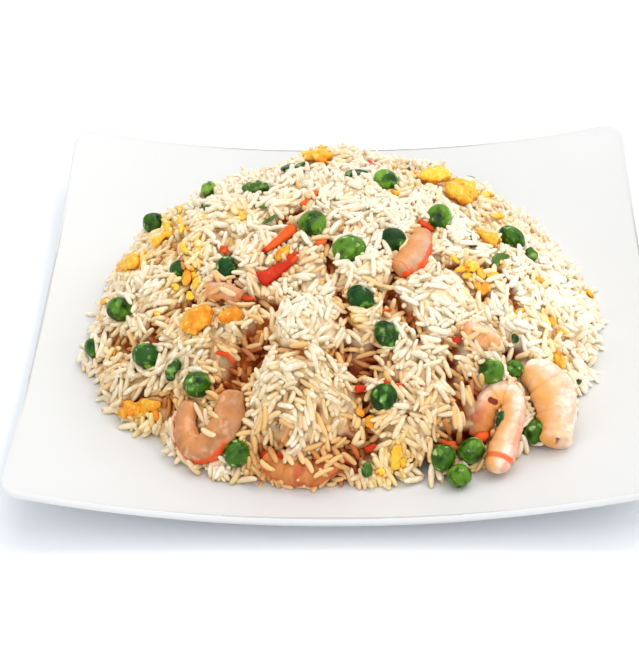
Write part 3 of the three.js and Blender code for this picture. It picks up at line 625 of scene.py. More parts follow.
def pea_material():
    m = Nodes("cooked_pea")
    tone, dip = m.attributes("tone", "dip")
    skin = m.mix(tone, (0.006, 0.062, 0.002), (0.13, 0.29, 0.012))
    skin = m.mottle(skin, 230, 0.53, 0.68, (0.20, 0.42, 0.05), 0.8)
    # painted highlight: pale whitish-green patches
    skin = m.mottle(skin, 290, 0.6, 0.7, (0.48, 0.66, 0.26), 0.8)
    skin = m.mottle(skin, 150, 0.48, 0.62, (0.002, 0.030, 0.001), 0.85)
    # painted shade: dents and grooves darken to near black
    skin = m.mix(dip, skin, (0.001, 0.016, 0.001))
    m.bump(480, 0.4, 0.8)
    return m.finish(skin, 0.35, 0.05, (0.32, 0.12), (0.08, (0.5, 1.0, 0.3)))


def scallion_material():
    m = Nodes("scallion")
    tone, under = m.attributes("tone", "under")
    leaf = m.mix(tone, (0.004, 0.045, 0.002), (0.20, 0.38, 0.03))
    leaf = m.mottle(leaf, 210, 0.5, 0.62, (0.004, 0.045, 0.002), 0.8)
    leaf = m.mottle(leaf, 300, 0.5, 0.75, (0.24, 0.42, 0.10))
    # painted shade on the underside
    leaf = m.mix(under, leaf, (0.003, 0.02, 0.001))
    m.bump(900, 0.2, 0.6)
    return m.finish(leaf, 0.35, 0.15, (0.15, 0.15), (0.1, (1, 0.2, 0.1)))


def shrimp_material():
    """Pale or orange flesh, with painted shade in orange on the inside of the curl, a red rim on the back
    and a band near the tail.
    """
    m = Nodes("cooked_shrimp")
    back, along, crease, pale = m.attributes("back", "along", "crease", "pale")
    rim, warm, spot = m.attributes("rim", "warm", "spot")
    flesh = m.mottle((0.42, 0.17, 0.055), 150, 0.35, 0.65, (0.52, 0.28, 0.14))
    light = m.mottle((0.86, 0.60, 0.40), 260, 0.4, 0.6, (0.94, 0.83, 0.71))
    flesh = m.mix(m.times(pale, m.band(m.noise(180), 0.25, 0.5, 0.7, 1)), flesh, light)
    # painted shade: the inside of the curl turns orange
    curl_shade = m.times(m.band(back, 0.55, -0.4), m.band(m.noise(120), 0.3, 0.6, 0.65, 1))
    flesh = m.mix(curl_shade, flesh, m.mix(pale, (0.64, 0.27, 0.09), (0.86, 0.41, 0.11)))
    flesh = m.mottle(flesh, 230, 0.52, 0.66, (0.82, 0.48, 0.30), 0.6)
    # orange flesh from the first end to a point along the body; on the first shrimp it paints the shade on
    # its inner limb
    orange = m.mottle((0.48, 0.07, 0.006), 170, 0.4, 0.6, (0.58, 0.20, 0.03))
    flesh = m.mix(m.times(warm, 0.85), flesh, orange)
    flesh = m.mix(m.times(crease, 0.4), flesh, (0.80, 0.32, 0.13))
    edge = m.times(m.band(back, 0.58, 0.8), m.band(m.noise(200), 0.25, 0.42))
    flesh = m.mix(m.times(edge, rim), flesh, (0.80, 0.09, 0.012))
    band = m.times(m.band(along, 0.925, 0.935), m.band(along, 0.96, 0.95))
    flesh = m.mix(m.times(band, m.band(rim, 0.2, 0.35)), flesh, (0.80, 0.15, 0.04))
    flesh = m.mix(m.band(spot, 0.3, 0.55), flesh, (0.20, 0.02, 0.004))
    m.bump(350, 0.4, 0.7)
    return m.finish(flesh, 0.32, 0.2, (0.15, 0.15), (0.2, (1.6, 0.9, 0.5)))


def egg_material():
    m = Nodes("scrambled_egg")
    tone, under = m.attributes("tone", "under")
    curd = m.mix(tone, (0.78, 0.24, 0.008), (0.90, 0.56, 0.03))
    curd = m.mottle(curd, 200, 0.45, 0.6, m.mix(tone, (0.78, 0.38, 0.03), (0.92, 0.62, 0.06)))
    curd = m.mottle(curd, 420, 0.55, 0.7, m.mix(tone, (0.88, 0.56, 0.11), (0.95, 0.78, 0.20)))
    # painted shade: the underside turns a deeper orange
    curd = m.mix(under, curd, (0.76, 0.19, 0.005))
    curd = m.mottle(curd, 290, 0.58, 0.72, (0.62, 0.14, 0.003))
    m.bump(500, 0.6, 0.9)
    return m.finish(curd, 0.4, 0.15, (0.1, 0.2), (0.25, (1.2, 0.8, 0.2)))


def red_material():
    m = Nodes("red_strip")
    tone, under = m.attributes("tone", "under")
    flesh = m.mix(tone, (0.48, 0.004, 0.001), (0.86, 0.13, 0.012))
    flesh = m.mottle(flesh, 260, 0.5, 0.75, (0.88, 0.12, 0.012))
    # painted shade: the underside turns a darker red
    flesh = m.mix(under, flesh, (0.40, 0.008, 0.001))
    m.bump(700, 0.25, 0.6)
    return m.finish(flesh, 0.34, 0.12, (0.1, 0.15), (0.12, (1.2, 0.4, 0.2)))


def glaze_material():
    m = Nodes("white_glaze")
    colour = m.mottle((0.690, 0.691, 0.689), 14, 0.3, 0.7, (0.702, 0.703, 0.701))
    m.bump(60, 0.05, 0.4)
    return m.finish(colour, 0.4, 0.12, (0.08, 0.1))


# ---------- plate ----------

def soften(outline, reach):
    """The weights that smooth values round a closed outline, over a reach in millimetres."""
    step = np.linalg.norm(np.roll(outline, -1, 0) - outline, axis=1)
    place = np.concatenate([[0], np.cumsum(step)[:-1]])
    gap = abs(place[:, None] - place)
    gap = np.minimum(gap, step.sum() - gap)
    weight = np.exp(-(gap / reach) ** 2) * (step + np.roll(step, 1))
    return weight / weight.sum(1, keepdims=True)


def plate_piece():
    """The plate on the CAD's section, with close steps and a rounded lip."""
    straight = PLATE_SIDE / 2 - CORNER_RADIUS
    side_y = straight * np.linspace(-1, 1, SIDE_STEPS)[:-1]
    side = np.stack([PLATE_SIDE / 2 + SIDE_BOW * (1 - (side_y / straight) ** 2), side_y], -1)
    turn = TAU / 4 * np.linspace(0, 1, CORNER_STEPS)[:-1]
    corner = straight + CORNER_RADIUS * np.stack([np.cos(turn), np.sin(turn)], -1)
    quarter = np.concatenate([side, corner])
    spin = lambda p, k: p @ np.array([[math.cos(k), math.sin(k)], [-math.sin(k), math.cos(k)]])
    outline = np.concatenate([spin(quarter, TAU / 4 * k) for k in range(4)])
    reach = np.hypot(*outline.T)
    away = outline / reach[:, None]
    rim = soften(outline, RIM_BLUR) @ rim_height(*outline.T)
    lip = RIM_THICK / 2 - 0.25

    def ring(radius, height, blur=0.0):
        """Points round the outline's shape, as far out as the radius."""
        plan = away * (radius + 0 * reach)[:, None]
        if blur:
            plan = soften(outline, blur) @ plan
        return np.column_stack([plan, height + 0 * reach])

    def top(t, drop=0.0):
        """A ring of the upper side, from 0 at the well to 1 at the rim, or so far below it."""
        height = FLOOR_TOP + (rim - FLOOR_TOP) * t ** FLARE
        return ring(WELL_RADIUS + (reach - WELL_RADIUS) * t, height - drop, 0.1 + 20 * (1 - t))

    rings = [ring(radius, FLOOR_TOP) for radius in (20, 50, 80, 98)]
    rings += [top(t) for t in np.linspace(0, 0.96, FLARE_STEPS)]
    for angle in np.radians(LIP_ANGLES):
        rings.append(ring(reach - lip * (1 - math.cos(angle)), rim - lip - 0.15 + lip * math.sin(angle)))
    well_thick = FLOOR_TOP - FLOOR_UNDER
    rings += [top(t, well_thick + (RIM_THICK - well_thick) * t)
              for t in np.linspace(0.93, 0.05, UNDER_STEPS)]
    rings += [ring(radius, height) for radius, height in [
        (WELL_RADIUS - 6, FLOOR_UNDER), (FOOT_OUTER + FOOT_DRAFT + 2, FLOOR_UNDER),
        (FOOT_OUTER + FOOT_DRAFT, FLOOR_UNDER - 0.2), (FOOT_OUTER + 0.2, 0.4), (FOOT_OUTER - 0.4, 0),
        (FOOT_INNER + 0.4, 0), (FOOT_INNER - 0.2, 0.4), (FOOT_INNER - FOOT_DRAFT, FOOT_RECESS)]]
    rings = np.stack(rings)
    points = np.concatenate([[[0, 0, FLOOR_TOP]], rings.reshape(-1, 3), [[0, 0, FOOT_RECESS]]])
    parts = [(points, loft_triangles(len(rings), len(outline)), {})]
    add_piece("plate_glazed", parts, glaze_material(), ["plate"])


# ---------- toppings ----------

def ball_mesh(around=44, down=28):
    """Directions over a ball and its triangles."""
    polar = math.pi * np.arange(1, down) / down
    angle = TAU * np.arange(around) / around
    rings = np.stack([np.outer(np.sin(polar), np.cos(angle)), np.outer(np.sin(polar), np.sin(angle)),
                      np.outer(np.cos(polar), np.ones(around))], -1)
    points = np.concatenate([[[0, 0, 1]], rings.reshape(-1, 3), [[0, 0, -1]]])
    return points, loft_triangles(down - 1, around)


def pea_parts(rng):
    """Peas stretched and dented as each shows; `dip` is the depth of the dents and grooves, and paints
    shade in them.
    """
    directions, triangles = ball_mesh()
    _, right, up, forward = camera_axes()
    parts, balls = [], []
    for i, (x, y, diameter) in enumerate(PEAS):
        stretch, turn, tone, dents = PEA_FORMS.get(i + 1, (1.06, 0, rng.random(), 3))
        radius = diameter / 2
        centre = above(x, y, SUNK_LIFT - PEA_SINKING.get(i + 1, 0), radius)
        size = 1 + 0.045 * rough(directions, 0.8, i + 1) + 0.012 * rough(directions, 0.25, i + 60)
        dip = np.zeros(len(directions))
        for _ in range(dents):
            spot = unit(rng.normal(size=3) - 0.9 * forward)
            spread = rng.uniform(0.16, 0.34)
            away = np.arccos(np.clip(directions @ spot, -1, 1))
            dip += rng.uniform(0.5, 1) * np.exp(-(away / spread) ** 2)
        groove = np.zeros(len(directions))
        for _ in range(1 + dents // 3):
            across = unit(rng.normal(size=3))
            line = directions @ across - rng.uniform(-0.35, 0.35)
            line += 0.12 * rough(directions, 0.7, i + 90)
            groove += rng.uniform(0.4, 1) * np.exp(-(line / 0.13) ** 2)
        groove *= np.clip(0.4 - directions @ forward, 0, 1)
        size -= 0.14 * np.minimum(dip, 1.3) + 0.07 * np.minimum(groove, 1)
        dip += 0.7 * groove
        turn = math.radians(turn)
        axis = right * math.cos(turn) + up * math.sin(turn)
        points = directions * size[:, None] / stretch ** 0.5
        points += (stretch ** 1.5 - 1) * (points @ axis)[:, None] * axis
        # dip darkens the dents and grooves as painted shade
        looks = {"tone": tone, "dip": np.clip(dip * 0.8, 0, 0.85)}
        parts.append((centre + points * radius, triangles, looks))
        balls.append((centre[None], np.array([radius * 0.93])))
    return parts, balls


def laid_path(start, end, thick, count, clearance, bend):
    """Middle points over the heap from one plan point to another, with the heap's normals."""
    t = np.linspace(0, 1, count)
    start, end = np.asarray(start, float), np.asarray(end, float)
    side = np.array([start[1] - end[1], end[0] - start[0]])
    plan = start + (end - start) * t[:, None] + side * (bend * (4 * t * (1 - t) - 0.5))[:, None]
    path = above(plan[:, 0], plan[:, 1], thick / 2 + clearance, thick / 2)
    return t, path, heap_normal(plan[:, 0], plan[:, 1])


def blunt_ends(t, part):
    """A girth that rises from nothing to one within a part of each end."""
    edge = np.minimum(np.minimum(t, 1 - t) / part, 1)
    return np.sqrt(1 - (1 - edge) ** 2)


def strip(start, end, width, thick, seed, tone, lumpy=0.0, ends=0.2, clearance=CLEARANCE,
          bend=0.0, sides=20, count=26, features=3.0, square=0.0, taper=0.0):
    """A bar or curd lying on the heap, roughened by noise, and the balls that grains keep off."""
    t, path, ups = laid_path(start, end, thick, count, clearance, bend)
    girth = blunt_ends(t, ends) * (1 - taper * (2 * t - 1))
    widths, heights = girth * width / 2, girth ** 0.7 * thick / 2
    points, triangles = sweep(path, ups, widths, heights, sides, square)
    if lumpy:
        amount = lumpy * (rough(points, features, seed) + 0.6 * rough(points, features / 2.2, seed + 50))
        points = push_out(points, path, amount)
    # painted shade: under is 1 on the strip's underside, which the materials darken
    down = 0.5 - 0.5 * np.sin(TAU * np.arange(sides) / sides)
    under = np.concatenate([[0.5], np.tile(down, count - 2), [0.5]])
    across = unit(np.cross(np.gradient(path, axis=0), ups))
    offsets = np.linspace(-1, 1, 3) * max(width - thick, 0) / 2
    centres = (path[:, None] + across[:, None] * offsets[:, None]).reshape(-1, 3)
    balls = (centres, np.full(len(centres), thick / 2))
    return (points, triangles, {"tone": tone, "under": np.clip(under * 1.5 - 0.45, 0, 1)}), balls


def bits(rows, seed, thick=0.62, lumpy=0.3, clearance=0.2):
    """Small pieces given by the pixels of their ends, half sunk among the grains."""
    made = []
    for i, (x0, y0, x1, y1, width, tone) in enumerate(rows):
        part, (centres, radii) = strip(at_pixel(x0, y0), at_pixel(x1, y1), width, width * thick, seed + i,
                                       tone, lumpy, ends=0.45, clearance=clearance, bend=0.12 * (-1) ** i,
                                       sides=12, count=12, features=2.0)
        made.append((part, (centres[::4], radii[::4] * 0.75)))
    return made


def strips(rows, seed, tones, girth, **settings):
    """A strip for each plan row; girth gives its width and thickness from what the row says."""
    return [strip(*row[:2], *girth(*row[2:]), seed + i, tone, **settings)
            for i, (row, tone) in enumerate(zip(rows, tones))]


def parts_of(*groups):
    return [part for group in groups for part, _ in group]


def balls_of(*groups):
    return [ball for group in groups for _, ball in group]


def joined(balls):
    """The centres and the radii of all of the balls."""
    return [np.concatenate(each) for each in zip(*balls)]


def numbered(name, rows):
    """The CAD nodes that the rows became, counted from 1."""
    return [f"{name}_{i + 1}" for i in range(len(rows))]


def wedged_leaf(beside, balls, width, tone, count=14, sides=12):
    """A sliver of scallion held between the limbs of a shrimp, given by the pixels beside its ends."""
    ends = [np.mean([on_view(x, y, *balls) for x, y in pair], 0) for pair in beside]
    forward = camera_axes()[3]
    t = np.linspace(0, 1, count)
    path = ends[0] + (ends[1] - ends[0]) * t[:, None] + forward * width / 4
    girth = blunt_ends(t, 0.45)
    points, triangles = sweep(path, np.broadcast_to(-forward, path.shape), girth * width / 2,
                              girth ** 0.7 * width / 4, sides)
    return points, triangles, {"tone": tone, "under": 0.0}


def browned(px, py, points, path, size=1.3):
    """How brown each point is by a spot at a pixel, on the side of the path that the camera sees."""
    place, ray = ray_through(px, py)
    reach, middle = (points - place) @ ray, (path - place) @ ray
    away = np.linalg.norm(points - place - reach[:, None] * ray, axis=1)
    nearest = np.argmin(np.linalg.norm(path - place - middle[:, None] * ray, axis=1))
    return np.exp(-(away / size) ** 2) * (reach < middle[nearest])


def shrimp_parts():
    """Curled shrimps with overlapping segments; `back` is 1 on the outside of the curl."""
    parts, balls = [], []
    count, sides = 84, 28
    for i, (shrimp, looks) in enumerate(zip(SHRIMPS, SHRIMP_LOOKS)):
        pale, rim, rim_from, rim_to, warmth, warm_to, _, _, sink = looks
        middle = shrimp["middle"]
        half = np.interp(np.linspace(0, 1, count), np.linspace(0, 1, len(shrimp["half"])), shrimp["half"])
        if len(middle[0]) == 3:
            path = curve(middle, count)
            square = np.cross(path[1:-1] - path[0], path[2:] - path[0]).sum(0)
            ups = np.broadcast_to(unit(square * np.sign(square[2])), path.shape)
        else:
            plan = curve(middle, count)
            path = above(plan[:, 0], plan[:, 1], SUNK_LIFT - sink, half)
            ups = heap_normal(plan[:, 0], plan[:, 1])
        t = np.linspace(0, 1, count)
        segments = np.linalg.norm(np.diff(path, axis=0), axis=1).sum() / (1.5 * half.mean())
        place = t * segments + 0.12 * np.sin(17 * t + i)
        part = place % 1
        plates = 1 + 0.12 * (0.45 - part) * np.minimum(part / 0.14, 1)
        girth = blunt_ends(t, 0.05) * half * plates
        points, triangles = sweep(path, ups, girth, girth * 0.82, sides)
        uneven = 0.22 * rough(points, 2.6, i + 31) + 0.1 * rough(points, 1.0, i + 71)
        points = push_out(points, path, uneven)
        along = unit(np.gradient(path, axis=0))
        side = unit(np.cross(along, ups))
        bend = np.sign(dot(np.gradient(along, axis=0).sum(0), side.mean(0))) or 1.0
        back = np.cos(TAU * np.arange(sides) / sides) * -bend
        crease = np.exp(-(np.minimum(part, 1 - part) / 0.1) ** 2)
        spread = lambda values: np.concatenate([values[:1], np.repeat(values[1:-1], sides), values[-1:]])
        spot = np.max([browned(x, y, points, path) for x, y in SHRIMP_SPOTS], 0)
        parts.append((points, triangles, {
            "back": np.concatenate([[0], np.tile(back, count - 2), [0]]), "along": spread(t),
            "crease": spread(crease), "spot": spot, "pale": pale,
            "rim": spread(rim * np.clip(np.minimum(t - rim_from, rim_to - t) / 0.06 + 1, 0, 1)),
            "warm": spread(warmth * np.clip((warm_to - t) / 0.12, 0, 1))}))
        balls.append((path[::3], half[::3]))
    return parts, balls


# ---------- grains ----------

def near_pairs(points, reach):
    """Index pairs of points closer than a reach, found on a grid."""
    cells = np.floor(points / reach).astype(np.int64)
    cells -= cells.min(0) - 1
    size = cells.max(0) + 2
    key = (cells[:, 0] * size[1] + cells[:, 1]) * size[2] + cells[:, 2]
    order = np.argsort(key, kind="stable")
    ordered = key[order]
    found = []
    for dx, dy, dz in np.array(list(np.ndindex(3, 3, 3))) - 1:
        other = key + (dx * size[1] + dy) * size[2] + dz
        low, high = np.searchsorted(ordered, other, "left"), np.searchsorted(ordered, other, "right")
        number = high - low
        first = np.repeat(np.arange(len(points)), number)
        start = np.repeat(low - np.concatenate([[0], np.cumsum(number)[:-1]]), number)
        second = order[np.arange(number.sum()) + start]
        keep = first < second
        found.append(np.stack([first[keep], second[keep]]))
    i, j = np.concatenate(found, 1)
    close = np.linalg.norm(points[i] - points[j], axis=1) < reach
    return i[close], j[close]


def segment_contacts(a, b, i, j):
    """Nearest points of two sets of segments: the parts along each, and the gap vectors."""
    d1, d2, r = b[i] - a[i], b[j] - a[j], a[i] - a[j]
    aa, ee, bb, cc, ff = dot(d1, d1), dot(d2, d2), dot(d1, d2), dot(d1, r), dot(d2, r)
    s = np.clip((bb * ff - cc * ee) / np.maximum(aa * ee - bb * bb, 1e-6), 0, 1)
    t = np.clip((bb * s + ff) / ee, 0, 1)
    s = np.clip((bb * t - cc) / aa, 0, 1)
    return s, t, r + d1 * s[:, None] - d2 * t[:, None]


def gather(total, index, values):
    """The sum of vectors by index."""
    return np.stack([np.bincount(index, values[:, k], total) for k in range(3)], -1)


class Relief:
    """How far the heap's uneven surface stands over its bare shape: clumps and crevices between
    them, deeper gaps and pits, and banks round the toppings."""

    def __init__(self, rng, ball_centres, ball_radii):
        x, y = scatter(CLUMPS, rng)
        self.centres = on_heap(x, y)
        self.heading = TAU * rng.random(CLUMPS)
        self.depth = rng.uniform(0.1, 1.0, CLUMPS) ** 1.5 * CREVICE
        self.lift = rng.normal(CLUMP_LIFT, CLUMP_LIFT_SPREAD, CLUMPS)
        self.humps = [(at_pixel(x, y), reach, rise) for x, y, reach, rise in HUMPS]
        self.lines = [[at_pixel(x, y) for x, y in line] for line in GAPS]
        self.pits = [at_pixel(x, y) for x, y in PITS]
        self.balls = ball_centres, ball_radii

    def clump(self, points):
        """The clump of each point, and the height over the bare shape that clumps give."""
        gaps = np.linalg.norm(points[:, None] - self.centres[None], axis=-1)
        order = np.argsort(gaps, 1)[:, :2]
        first, second = np.take_along_axis(gaps, order, 1).T
        edge = np.exp(-((second - first) / CREVICE_WIDTH) ** 2)
        rise = self.lift[order[:, 0]] * (1 - edge) - self.depth[order].mean(1) * edge
        return order[:, 0], rise

    def cut(self, plan, share=False):
        """The depth of the gaps and pits at plan points, or its share of their full depth."""
        off = lambda line: np.min([off_line(plan, a, b) for a, b in zip(line, line[1:])], 0)
        cuts = [(off(line), GAP_DEPTH, GAP_REACH) for line in self.lines]
        cuts += [(np.linalg.norm(plan - spot, axis=1), PIT_DEPTH, PIT_REACH) for spot in self.pits]
        return np.max([(1 if share else most) * np.exp(-(away / reach) ** 2)
                       for away, most, reach in cuts], 0)

    def height(self, points, banks=True):
        """The clump, the height over the bare shape and the depth of the cuts at points."""
        clump, rise = self.clump(points)
        plan = points[:, :2]
        foot = np.clip((points[:, 2] - FLOOR_TOP) / HUMP_FOOT, 0, 1)
        for spot, reach, most in self.humps:
            away = np.linalg.norm(plan - spot, axis=1)
            rise += most * foot * np.exp(-(away / reach) ** 4)
        bank = banked(plan, *self.balls)
        cut = self.cut(plan)
        rise = (rise - HUMP_SINK) * (1 - bank / BANKING) - cut
        return clump, rise + bank if banks else rise, cut


def off_line(plan, start, end):
    """Distance of plan points from a segment."""
    d = end - start
    t = np.clip((plan - start) @ d / (d @ d), 0, 1)
    return np.linalg.norm(plan - start - t[:, None] * d, axis=1)


def banked(plan, centres, radii):
    """How far grains bank up round the toppings at plan points."""
    rise = np.zeros(len(plan))
    for centre, radius in zip(centres, radii):
        away = np.maximum(np.hypot(*(plan - centre[:2]).T) - radius, 0)
        most = BANKING * min(radius / BANK_GIRTH, 1)
        rise = np.maximum(rise, most * np.exp(-(away / BANK_REACH) ** 2))
    return rise


def patches(plan, rows):
    """Strength of a tint at plan points."""
    strength = np.zeros(len(plan))
    for x, y, reach, most in rows:
        away = np.linalg.norm(plan - at_pixel(x, y), axis=1)
        strength = np.maximum(strength, most * np.exp(-(away / reach) ** 2))
    return strength


def painted_light_and_shade_at(plan):
    """Painted light and shade: how much lighter, or darker below 0, the rice is at plan points."""
    return sum(math.copysign(1, row[3]) * patches(plan, [(*row[:3], abs(row[3]))]) for row in PAINTED_LIGHT_AND_SHADE)


def near_balls(points, balls, reach):
    """1 on the balls, fading to 0 over a reach from them."""
    centres, radii = joined(balls)
    gap = np.min([np.linalg.norm(points - c, axis=1) - r for c, r in zip(centres, radii)], 0)
    return np.exp(-(np.maximum(gap, 0) / reach) ** 2)


def scatter(count, rng):
    """Plan points spread evenly over the heap's slope."""
    drawn = OVERDRAW * count
    angle, radius = TAU * rng.random(drawn), np.sqrt(rng.random(drawn)) * 1.005
    radius = radius * heap_edge(angle)
    x, y = radius * np.cos(angle), radius * np.sin(angle)
    keep = rng.random(drawn) < STEEPEST / np.maximum(heap_normal(x, y)[:, 2], STEEPEST)
    return x[keep][:count], y[keep][:count]


def level(points):
    """Distance above the bare heap, near enough, and the heap's normal there."""
    normal = heap_normal(points[:, 0], points[:, 1])
    return (points[:, 2] - heap_top(points[:, 0], points[:, 1])) * np.maximum(normal[:, 2], 0.3), normal


def lying(heading, normal):
    """Directions square to headings in plan, flat on the heap."""
    return unit(np.cross(np.stack([np.cos(heading), np.sin(heading), 0 * heading], -1), normal))


def ball_gaps(a, b, grain, ball, centres):
    """The parts along grains that are nearest to their balls, and the vectors from ball to grain."""
    d = b[grain] - a[grain]
    s = np.clip(dot(centres[ball] - a[grain], d) / np.maximum(dot(d, d), 1e-6), 0, 1)
    return s, a[grain] + d * s[:, None] - centres[ball]


def settle(rng, relief):
    """Grains as capsules, pushed off one another, the toppings and the plate."""
    ball_centres, ball_radii = relief.balls
    x, y = scatter(GRAINS, rng)
    count = len(x)
    surface = on_heap(x, y)
    clump, rise, _ = relief.height(surface)
    normal = heap_normal(x, y)
    goal = rng.uniform(*GRAIN_LEVELS, count) + rise
    width = GRAIN_WIDTH * rng.normal(1, WIDTH_SPREAD, count).clip(*WIDTH_LIMITS)
    length = GRAIN_LENGTH * rng.normal(1, LENGTH_SPREAD, count).clip(0.6, 1.28)
    broken = rng.random(count) < BROKEN_SHARE
    length[broken] *= rng.uniform(*BROKEN_LENGTHS, broken.sum())
    heading = relief.heading[clump]
    for spot, reach, _ in relief.humps:
        out = surface[:, :2] - spot
        heading = np.where(np.hypot(*out.T) < reach, np.arctan2(*out.T[::-1]), heading)
    heading = heading + rng.normal(0, HEADING_SPREAD, count)
    flat = lying(heading, normal)
    lean = rng.normal(0, LEAN_SPREAD, count)
    steep = rng.random(count) < STEEP_SHARE
    lean[steep] = rng.uniform(*STEEP_LEANS, steep.sum())
    along = flat * np.cos(lean)[:, None] + normal * np.sin(lean)[:, None]
    centre = surface + normal * goal[:, None]
    reach = (length - width)[:, None] / 2
    a, b = centre - along * reach, centre + along * reach
    radius = width / 2 * CLING
    for step in range(SETTLE_STEPS):
        if step % PAIR_STEPS == 0:
            i, j = near_pairs((a + b) / 2, GRAIN_LENGTH + 1.5)
            grain, ball = grain_ball_pairs((a + b) / 2, ball_centres, ball_radii)
        s, t, gap = segment_contacts(a, b, i, j)
        overlap = radius[i] + radius[j] - np.linalg.norm(gap, axis=1)
        hit = overlap > 0
        push = unit(gap[hit]) * (overlap[hit] * PUSH)[:, None]
        move_a, move_b = (gather(count, i[hit], push * part[:, None] * PUSH_NEAR_END)
                          - gather(count, j[hit], push * other[:, None] * PUSH_NEAR_END)
                          for part, other in ((1 - s[hit], 1 - t[hit]), (s[hit], t[hit])))
        s, gap = ball_gaps(a, b, grain, ball, ball_centres)
        overlap = radius[grain] + ball_radii[ball] - np.linalg.norm(gap, axis=1)
        hit = overlap > 0
        push = unit(gap[hit]) * (overlap[hit] * BALL_PUSH)[:, None]
        move_a += gather(count, grain[hit], push * (1.3 - s[hit])[:, None])
        move_b += gather(count, grain[hit], push * (0.3 + s[hit])[:, None])
        for end, move in ((a, move_a), (b, move_b)):
            size = np.linalg.norm(move, axis=1, keepdims=True)
            end += move * np.minimum(1, MOST_MOVE / np.maximum(size, 1e-9))
        middle = (a + b) / 2
        height, normal = level(middle)
        pull = normal * ((goal - height) * PULL)[:, None]
        along = unit(b - a)
        a, b = middle + pull - along * reach, middle + pull + along * reach
        for end in (a, b):
            floor = plate_top(end[:, 0], end[:, 1]) + radius + PLATE_GAP
            end[:, 2] = np.maximum(end[:, 2], floor)
    grain, ball = grain_ball_pairs((a + b) / 2, ball_centres, ball_radii)
    distance = np.linalg.norm(ball_gaps(a, b, grain, ball, ball_centres)[1], axis=1)
    keep = np.ones(count, bool)
    keep[grain[distance < radius[grain] + ball_radii[ball] - BURIED]] = False
    return a[keep], b[keep], width[keep], length[keep]


def in_gaps(a, b, relief):
    """Marks the grains that would close the gaps and pits."""
    middle = (a + b) / 2
    places = (middle, (a + middle) / 2, (b + middle) / 2)
    return np.any([relief.cut(place[:, :2], True) > OPEN_CUT for place in places], 0)


def fillers(a, b, relief, rng):
    """Grains that lie flat on the spots of the core that settling left bare."""
    samples = np.concatenate([a + (b - a) * part for part in np.linspace(0, 1, 5)])
    over = level(samples)[0] - relief.height(samples, False)[1] - CORE_LEVEL
    covering = samples[(samples[:, 1] < BACK_FROM) | (over > -SUNK)]
    tree = kdtree.KDTree(len(covering))
    for i, point in enumerate(covering):
        tree.insert(point, i)
    tree.balance()
    x, y = scatter(FILLER_TRIES, rng)
    surface = on_heap(x, y)
    clump, rise, cut = relief.height(surface)
    normal = heap_normal(x, y)
    middle = surface + normal * (rise + FILLER_LEVEL - np.minimum(cut / GAP_DEPTH, 1))[:, None]
    heading = relief.heading[clump] + rng.normal(0, FILLER_SPREAD, len(x))
    along = lying(heading, normal)
    centres, radii = relief.balls
    chosen = []
    for i in range(len(x)):
        clear = tree.find(middle[i])[2] > BARE
        if clear and np.all(np.linalg.norm(centres - middle[i], axis=1) > radii + FILLER_GAP):
            if all(np.linalg.norm(middle[i] - middle[k]) > GRAIN_WIDTH for k in chosen):
                chosen.append(i)
    length = GRAIN_LENGTH * rng.uniform(*FILLER_LENGTHS, len(chosen))
    width = GRAIN_WIDTH * rng.normal(1, WIDTH_SPREAD, len(chosen)).clip(*WIDTH_LIMITS)
    reach = along[chosen] * (length - width)[:, None] / 2
    return middle[chosen] - reach, middle[chosen] + reach, width, length


def in_front(a, b, width, shown):
    """Marks the grains that the camera sees before the shown share of the balls' girth."""
    place = camera_axes()[0]
    hiding = np.zeros(len(a), bool)
    for end in (a, (a + b) / 2, b):
        reach = np.linalg.norm(end - place, axis=1)
        ray = (end - place) / reach[:, None]
        for (centres, radii), share in shown:
            for centre, radius in zip(centres, radii) if share else ():
                ahead = ray @ (centre - place)
                aside = np.sum((centre - place) ** 2) - ahead ** 2
                hiding |= (reach < ahead) & (aside < (radius * share + width / 4) ** 2)
    return hiding


def loose_grains(ball_centres, ball_radii):
    """Grains that lie on what the camera sees at their pixels."""
    lift = np.array([0, -0.3, 0.9]) * GRAIN_WIDTH / 2
    a, b = (np.array([on_view(*row[k:k + 2], ball_centres, ball_radii) for row in LOOSE]) + lift
            for k in (0, 2))
    middle, along = (a + b) / 2, unit(b - a)
    shortest, longest = (share * GRAIN_LENGTH for share in LOOSE_LENGTHS)
    length = np.clip(np.linalg.norm(b - a, axis=1) + GRAIN_WIDTH, shortest, longest)
    reach = along * (length[:, None] - GRAIN_WIDTH) / 2
    return middle - reach, middle + reach, np.full(len(LOOSE), GRAIN_WIDTH), length


def grain_ball_pairs(centres, ball_centres, ball_radii):
    """Grain and ball index pairs that could touch."""
    grains, found = [], []
    for k, (centre, radius) in enumerate(zip(ball_centres, ball_radii)):
        near = np.nonzero(np.linalg.norm(centres - centre, axis=1) < radius + GRAIN_LENGTH * 0.75)[0]
        grains.append(near)
        found.append(np.full(len(near), k))
    return np.concatenate(grains), np.concatenate(found)


